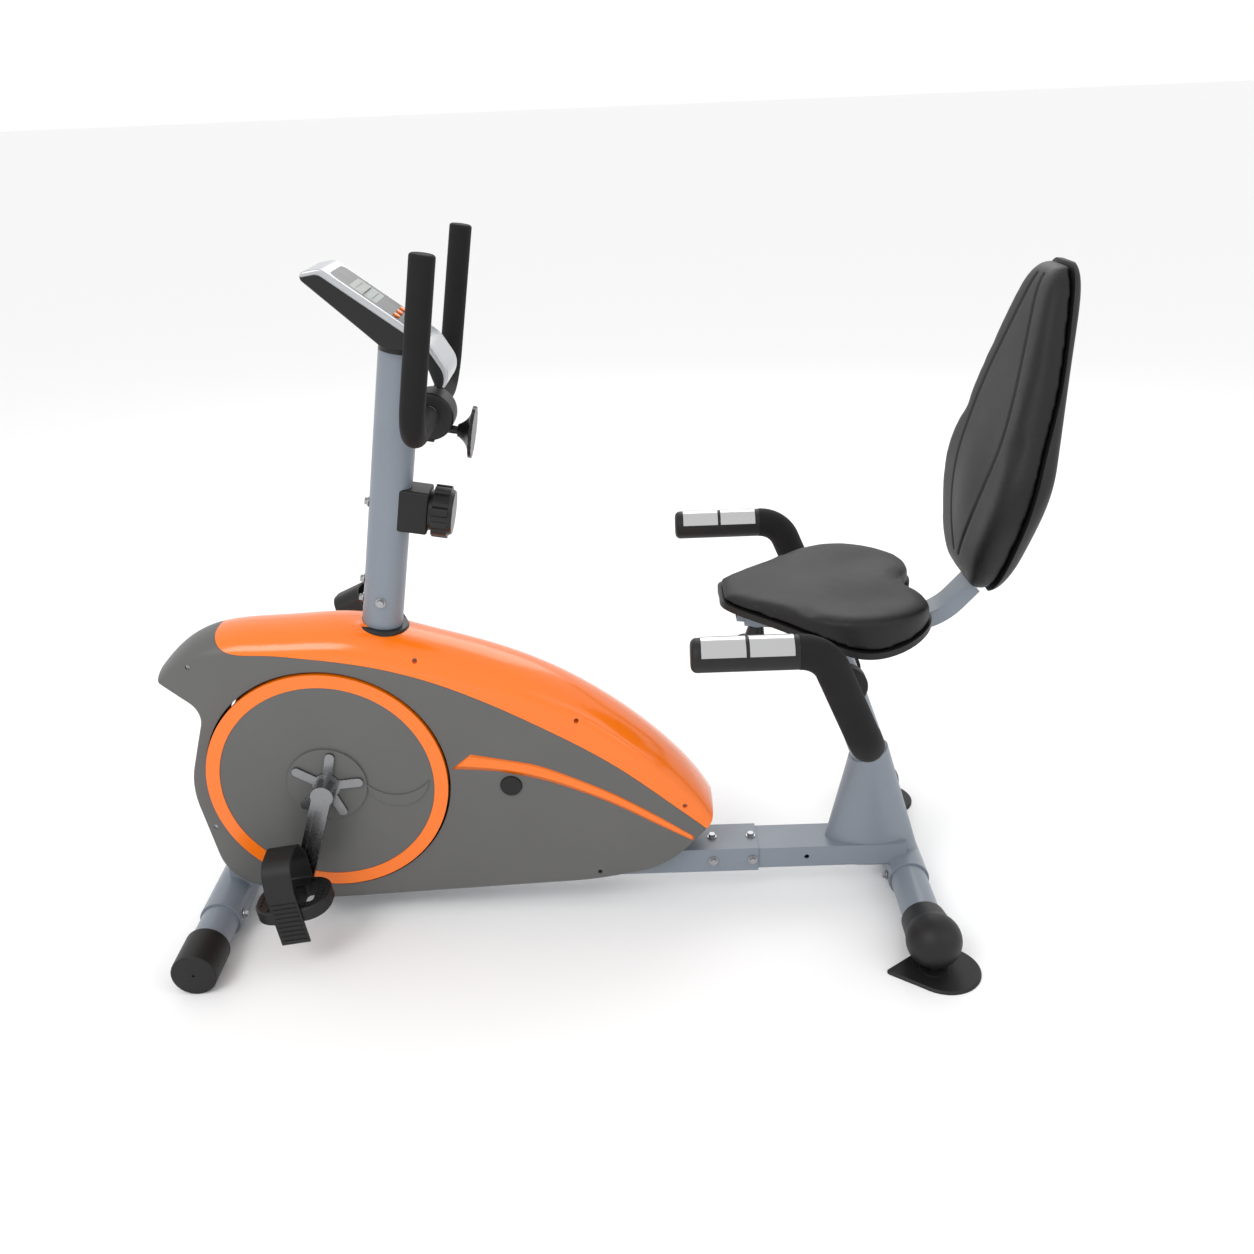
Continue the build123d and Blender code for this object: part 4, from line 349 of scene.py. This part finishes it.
@dataclass
class Pad:
    """A padded vinyl piece that swells from its CAD form."""

    name: str
    node: str
    hard_side: Vector  # towards the shell that the pad lies on
    voxel: float = 5 * MM
    soften: int = 10
    calm: int = 6
    pressure: float = 4.0
    frames: int = 20
    cap: float = 6 * MM
    shrink: float = 1.5 * MM
    held_from: float = -0.35  # how far a face may look towards the shell before it is held
    fill: float = 0.8

    def form(self) -> bpy.types.Object:
        """Makes the remeshed and softened form that the cloth starts from.

        Returns:
            An object that holds the plain mesh.
        """
        block = bpy.data.objects.new("form", merged_copy(self.node))
        bpy.context.scene.collection.objects.link(block)
        remesh = block.modifiers.new("remesh", "REMESH")
        remesh.mode = "VOXEL"
        remesh.voxel_size = self.voxel
        soften = block.modifiers.new("soften", "SMOOTH")
        soften.factor = 0.5
        soften.iterations = self.soften
        draw_in = block.modifiers.new("draw_in", "DISPLACE")
        draw_in.mid_level = 0.0
        draw_in.strength = -self.shrink
        mesh = baked(block)
        block.modifiers.clear()
        block.data = mesh
        return block

    def swell(self, block: bpy.types.Object) -> list[Vector]:
        """Runs the cloth under pressure.

        Args:
            block: the form.

        Returns:
            Where each point of the form ends.
        """
        cloth = block.modifiers.new("cloth", "CLOTH")
        settings = cloth.settings
        settings.quality = 5
        settings.mass = 0.3
        settings.tension_stiffness = settings.compression_stiffness = 40
        settings.bending_stiffness = 8
        settings.use_pressure = True
        settings.uniform_pressure_force = self.pressure
        settings.effector_weights.gravity = 0
        scene = bpy.context.scene
        for frame in range(1, self.frames + 1):
            scene.frame_set(frame)
        ends = [v.co.copy() for v in baked(block).vertices]
        scene.frame_set(1)
        block.modifiers.clear()
        return ends

    def build(self, sculpt: Callable[[Vector], Vector]) -> None:
        """Makes the pad, sculpts its seams and puts it in the CAD solid's place.

        Args:
            sculpt: moves a point of the finished pad, for seams and hollows.
        """
        block = self.form()
        mesh = block.data
        ends = self.swell(block)
        for vertex, end in zip(mesh.vertices, ends):
            facing = vertex.normal.dot(self.hard_side)
            free = min(max((facing + self.held_from) / (2 * self.held_from), 0.0), 1.0)
            move = (end - vertex.co) * free
            if move.length > self.cap:
                move.length = self.cap
            vertex.co += move
        calm = block.modifiers.new("calm", "SMOOTH")
        calm.factor = 0.5
        calm.iterations = self.calm
        smooth = block.modifiers.new("subdivision", "SUBSURF")
        smooth.levels = smooth.render_levels = 1
        done = baked(block)
        bpy.data.objects.remove(block)
        for vertex in done.vertices:
            vertex.co = sculpt(vertex.co.copy())
        piece = finish_mesh(self.name, done, VINYL, "seat")
        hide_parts(self.node)


@dataclass
class BackrestSeams:
    """Sewn channels and the lumbar bulge of the backrest pad."""

    low: float = 600 * MM
    high: float = 1012 * MM
    wide: float = 72 * MM
    groove: float = 2.4 * MM
    groove_half: float = 4.0 * MM
    lumbar_height: float = 700 * MM
    lumbar: float = 5 * MM
    ends: tuple[Vector, Vector] = field(default_factory=lambda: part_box("backrest_pad"))

    def half_width(self, height: float) -> float:
        """Finds how far from the middle the channel runs.

        Args:
            height: the height on the pad, in metres.

        Returns:
            The distance from the middle plane.
        """
        share = min(max((self.high - height) / (self.high - self.low), 0.0), 1.0)
        return 12 * MM + self.wide * sin(pi * share**1.2)

    def shape(self, point: Vector) -> Vector:
        """Sinks the channels and raises the small of the back.

        Args:
            point: a point of the pad.

        Returns:
            The moved point.
        """
        lo, hi = self.ends
        if point.x > (lo.x + hi.x) / 2 + (point.z - (lo.z + hi.z) / 2) * 0.28:
            return point
        away = (abs(point.y) - self.half_width(point.z)) / self.groove_half
        if self.low < point.z < self.high:
            point.x += self.groove * exp(-away * away)
        rise = exp(-(((point.z - self.lumbar_height) / 0.075) ** 2) - (point.y / 0.062) ** 2)
        point.x -= self.lumbar * rise
        return point


@dataclass
class SeatHollow:
    """The sit hollows and the raised middle of the seat pad."""

    hollow: float = 6 * MM
    back_x: float = 425 * MM
    side_y: float = 78 * MM
    top_z: float = field(default_factory=lambda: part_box("seat_pad")[1].z)

    def shape(self, point: Vector) -> Vector:
        """Sinks the top where the rider sits.

        Args:
            point: a point of the pad.

        Returns:
            The moved point.
        """
        top = min(max((point.z - self.top_z + 22 * MM) / (12 * MM), 0.0), 1.0)
        for side in (-1, 1):
            far = ((point.x - self.back_x) / 0.07) ** 2 + ((point.y - side * self.side_y) / 0.055) ** 2
            point.z -= top * self.hollow * exp(-far)
        return point


@dataclass
class CasingGraphics:
    """The painted swoosh on each casing side, laid on the shell's own surface."""

    upper: tuple[tuple[float, float], ...] = (
        (-206, 309), (-150, 297), (-98, 284), (-40, 258), (24, 224), (90, 180), (150, 134),
    )
    lower: tuple[tuple[float, float], ...] = (
        (-238, 283), (-165, 276), (-98, 259), (-40, 236), (24, 204), (90, 163), (148, 126),
    )
    steps: int = 48
    rows: int = 4
    proud: float = 0.25 * MM

    def line(self, points: tuple[tuple[float, float], ...]) -> list[Vector]:
        """Runs a smooth line through side-view points.

        Args:
            points: x and z, in millimetres.

        Returns:
            Evenly spaced points of the line.
        """
        curve = []
        spans = len(points) - 1
        for i in range(self.steps + 1):
            t = i / self.steps * spans
            k = min(int(t), spans - 1)
            u = t - k
            p0, p1, p2, p3 = (Vector((*points[min(max(k + j, 0), spans)], 0)) for j in (-1, 0, 1, 2))
            curve.append(
                0.5 * (2 * p1 + (p2 - p0) * u + (2 * p0 - 5 * p1 + 4 * p2 - p3) * u**2
                       + (3 * p1 - p0 - 3 * p2 + p3) * u**3)
            )
        return curve

    def build(self) -> None:
        """Makes both swooshes."""
        top, foot = self.line(self.upper), self.line(self.lower)
        for side, name in ((-1, "left"), (1, "right")):
            shell = surface_of(f"casing_{name}", f"top_cover_{name}")
            mesh = bmesh.new()
            grid = []
            for a, b in zip(top, foot):
                row = []
                for r in range(self.rows + 1):
                    p = a.lerp(b, r / self.rows) * MM
                    hit = shell.ray_cast(Vector((p.x, side * 0.5, p.y)), Vector((0, -side, 0)))[0]
                    y = hit.y if hit else side * 0.066
                    row.append(mesh.verts.new((p.x, y + side * self.proud, p.y)))
                grid.append(row)
            for i in range(self.steps):
                for r in range(self.rows):
                    corners = [grid[i][r], grid[i + 1][r], grid[i + 1][r + 1], grid[i][r + 1]]
                    mesh.faces.new(corners if side > 0 else corners[::-1])
            skin = bpy.data.meshes.new("swoosh")
            mesh.to_mesh(skin)
            mesh.free()
            sheet = bpy.data.objects.new("swoosh", skin)
            bpy.context.scene.collection.objects.link(sheet)
            thick = sheet.modifiers.new("film", "SOLIDIFY")
            thick.thickness = 0.2 * MM
            thick.offset = -1
            film = baked(sheet)
            bpy.data.objects.remove(sheet)
            finish_mesh(f"casing_stripe_{name}", film, ORANGE_ABS, "frame")


@dataclass
class BlockRow:
    """A row of like blocks, made by a Geometry Nodes tree with named inputs."""

    tree: bpy.types.NodeTree = field(init=False)

    def __post_init__(self) -> None:
        """Builds the tree once: a line of points, a block on each, made real."""
        tree = bpy.data.node_groups.new("block_row", "GeometryNodeTree")
        face = tree.interface
        face.new_socket("Geometry", in_out="OUTPUT", socket_type="NodeSocketGeometry")
        for label, kind in (
            ("Count", "NodeSocketInt"), ("Start", "NodeSocketVector"), ("Step", "NodeSocketVector"),
            ("Size", "NodeSocketVector"), ("Turn", "NodeSocketVector"), ("Material", "NodeSocketMaterial"),
        ):
            face.new_socket(label, in_out="INPUT", socket_type=kind)
        given = add_node(tree, "NodeGroupInput").outputs
        line = add_node(
            tree, "GeometryNodeMeshLine", {"mode": "OFFSET"}, Count=given["Count"],
            Start_Location=given["Start"], Offset=given["Step"],
        )
        block = add_node(tree, "GeometryNodeMeshCube", Size=given["Size"])
        row = add_node(
            tree, "GeometryNodeInstanceOnPoints", Points=line.outputs[0], Instance=block.outputs[0],
            Rotation=given["Turn"],
        )
        real = add_node(tree, "GeometryNodeRealizeInstances", Geometry=row.outputs[0])
        painted = add_node(
            tree, "GeometryNodeSetMaterial", Geometry=real.outputs[0], Material=given["Material"]
        )
        add_node(tree, "NodeGroupOutput", Geometry=painted.outputs[0])
        self.tree = tree

    def make(
        self, name: str, count: int, start: Vector, step: Vector, size: Vector, turn: float, finish: Finish,
        body: str, round_mm: float = 0.3,
    ) -> None:
        """Makes one row and sets it on its body.

        Args:
            name: the piece's name.
            count: how many blocks.
            start: the first block's middle.
            step: from one block to the next.
            size: a block's size.
            turn: the blocks' turn about the bike's cross axis, in radians.
            finish: what they are made of.
            body: the CAD body they ride on.
            round_mm: how round their edges are.
        """
        row = bpy.data.objects.new(name + "_row", bpy.data.meshes.new(name + "_row"))
        bpy.context.scene.collection.objects.link(row)
        nodes = row.modifiers.new("row", "NODES")
        nodes.node_group = self.tree
        values = {
            "Count": count, "Start": start, "Step": step, "Size": size, "Turn": Vector((0, turn, 0)),
            "Material": finish.material(),
        }
        for item in self.tree.interface.items_tree:
            if item.in_out == "INPUT":
                nodes[item.identifier] = values[item.name]
        bevel = row.modifiers.new("edges", "BEVEL")
        bevel.width = round_mm * MM
        bevel.segments = 2
        mesh = baked(row)
        bpy.data.objects.remove(row)
        finish_mesh(name, mesh, finish, body)


@dataclass
class PedalGrips:
    """Teeth on each pedal's tread and ribs along its strap."""

    # along the pedal and across it from its middle, count and pitch, in millimetres
    tread_rows: tuple[tuple[float, float, int, float], ...] = (
        (-49, 0, 5, 9), (-25, -34, 3, 7), (-25, 34, 3, 7), (0, 0, 9, 8), (25, -34, 3, 7), (25, 34, 3, 7),
        (49, 0, 5, 9),
    )
    tread_height: float = 13.2 * MM
    tilt: dict[str, float] = field(default_factory=lambda: {"left": radians(8), "right": radians(24)})

    def build(self, rows: BlockRow) -> None:
        """Makes the teeth and ribs of both pedals.

        Args:
            rows: the maker of rows.
        """
        for joint in FRAME["joints"]:
            name = joint["name"]
            if name not in ("pedal_left_spin", "pedal_right_spin"):
                continue
            side = name.split("_")[1]
            centre = Vector(joint["pos_m"])
            tilt = self.tilt[side]
            along, up = Vector((cos(tilt), 0, sin(tilt))), Vector((-sin(tilt), 0, cos(tilt)))
            for number, (x, y, count, pitch) in enumerate(self.tread_rows):
                middle = centre + along * x * MM + up * self.tread_height + Vector((0, y * MM, 0))
                step = (along if y else Vector((0, 1, 0))) * pitch * MM
                start = middle - step * (count - 1) / 2
                rows.make(
                    f"pedal_{side}_teeth_{number}", count, start, step, Vector((3.4, 3.4, 3.0)) * MM, -tilt,
                    BLACK_PP, f"{side}_pedal", 0.7,
                )
            outer = 1 if side == "right" else -1
            start = centre + Vector((0, outer * 47.8 * MM, 0)) - up * 42 * MM
            rows.make(
                f"strap_{side}_ribs", 9, start, up * 8.5 * MM, Vector((38, 1.4, 3.2)) * MM, -tilt,
                BLACK_PP, f"{side}_pedal", 0.5,
            )


@dataclass
class ConsoleFace:
    """The display's segments and the marks under the buttons."""

    # down the panel from the display's middle, width, length, count and pitch, in millimetres
    segment_rows: tuple[tuple[float, float, float, int, float], ...] = (
        (-13, 5, 3, 4, 13), (0, 9, 6.5, 5, 12), (13, 4, 3, 7, 8),
    )

    def build(self, rows: BlockRow) -> None:
        """Makes the marks on the display and the panel.

        Args:
            rows: the maker of rows.
        """
        lo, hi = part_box("console_window")
        fall = Vector((hi.x - lo.x, 0, lo.z - hi.z)).normalized()
        out = Vector((-fall.z, 0, fall.x))
        turn = -Vector((1, 0)).angle_signed(Vector((fall.x, fall.z)))
        middle = Vector(((lo.x + hi.x) / 2, 0, (lo.z + hi.z) / 2)) + out * 1.05 * MM
        for number, (down, width, length, count, pitch) in enumerate(self.segment_rows):
            step = Vector((0, pitch * MM, 0))
            start = middle + fall * down * MM - step * (count - 1) / 2
            rows.make(
                f"display_segments_{number}", count, start, step, Vector((length, width, 0.2)) * MM,
                turn, INK, "frame", 0.05,
            )
        buttons = [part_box(f"console_button_{n}") for n in (1, 2, 3)]
        first = (buttons[0][0] + buttons[0][1]) / 2
        gap = (buttons[1][0] + buttons[1][1]) / 2 - first
        rows.make(
            "button_marks", 3, first + fall * 12 * MM + out * 0.75 * MM, gap,
            Vector((1.6, 9, 0.3)) * MM, turn, PALE_INK, "frame", 0.05,
        )


@dataclass
class Studio:
    """A plain pale floor, soft light and the camera."""

    eye: Vector = field(default_factory=lambda: Vector((0.07834, -1.7361, 1.25829)))
    right: Vector = field(default_factory=lambda: Vector((0.9992926, -0.0009933, -0.0375941)))
    up: Vector = field(default_factory=lambda: Vector((0.0347935, 0.4038070, 0.9141823)))
    lens: float = 34.45

    def build(self) -> None:
        """Sets up the floor, the lights and the camera."""
        scene = bpy.context.scene
        scene.view_settings.view_transform = "Standard"
        bpy.ops.mesh.primitive_plane_add(size=400)
        floor = bpy.context.object
        floor.name = "floor"
        pale = bpy.data.materials.new("pale_floor")
        pale.use_nodes = True
        shader = pale.node_tree.nodes["Principled BSDF"]
        shader.inputs["Base Color"].default_value = (0.93, 0.93, 0.93, 1)
        shader.inputs["Roughness"].default_value = 0.7
        shader.inputs["Specular IOR Level"].default_value = 0.1
        floor.data.materials.append(pale)
        world = bpy.data.worlds.new("studio")
        scene.world = world
        world.use_nodes = True
        world.node_tree.nodes["Background"].inputs["Color"].default_value = (1, 1, 1, 1)
        world.node_tree.nodes["Background"].inputs["Strength"].default_value = 1.0
        for name, place, size, power in (
            ("key", Vector((-1.6, -2.4, 3.0)), 1.6, 42),
            ("fill", Vector((2.6, -1.8, 2.2)), 2.0, 12),
            ("rim", Vector((0.4, 2.6, 2.6)), 2.0, 26),
        ):
            light = bpy.data.lights.new(name, "AREA")
            light.size = size
            light.energy = power
            lamp = bpy.data.objects.new(name, light)
            lamp.location = place
            lamp.rotation_mode = "QUATERNION"
            lamp.rotation_quaternion = (Vector((0, 0, 0.5)) - place).to_track_quat("-Z", "Y")
            scene.collection.objects.link(lamp)
        camera = bpy.data.objects.new("camera", bpy.data.cameras.new("camera"))
        camera.data.lens = self.lens
        camera.data.sensor_width = 36
        back = self.right.cross(self.up)
        turn = Matrix((self.right, self.up, back)).transposed().to_4x4()
        camera.matrix_world = Matrix.Translation(self.eye) @ turn
        scene.collection.objects.link(camera)
        scene.camera = camera


def main() -> None:
    """Builds every piece in order."""
    logging.basicConfig(level=logging.INFO, format="%(message)s")
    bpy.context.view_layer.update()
    CadDress().dress()
    shell_side = Vector((1, 0, 0.2)).normalized()
    backrest = Pad("backrest_cushion", "backrest_pad", shell_side, calm=18, cap=4 * MM)
    backrest.build(BackrestSeams().shape)
    seat = Pad("seat_cushion", "seat_pad", Vector((0, 0, -1)), cap=4 * MM)
    seat.build(SeatHollow().shape)
    CasingGraphics().build()
    rows = BlockRow()
    PedalGrips().build(rows)
    ConsoleFace().build(rows)
    Studio().build()


with open("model.json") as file:
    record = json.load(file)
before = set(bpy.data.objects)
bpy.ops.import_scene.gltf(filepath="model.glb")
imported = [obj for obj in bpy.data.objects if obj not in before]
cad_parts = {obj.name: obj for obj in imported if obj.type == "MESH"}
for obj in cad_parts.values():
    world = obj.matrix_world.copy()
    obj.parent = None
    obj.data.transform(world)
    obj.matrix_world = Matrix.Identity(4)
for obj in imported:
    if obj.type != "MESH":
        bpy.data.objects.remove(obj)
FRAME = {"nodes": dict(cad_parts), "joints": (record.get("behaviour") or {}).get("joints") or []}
if __name__ == "__main__":
    main()
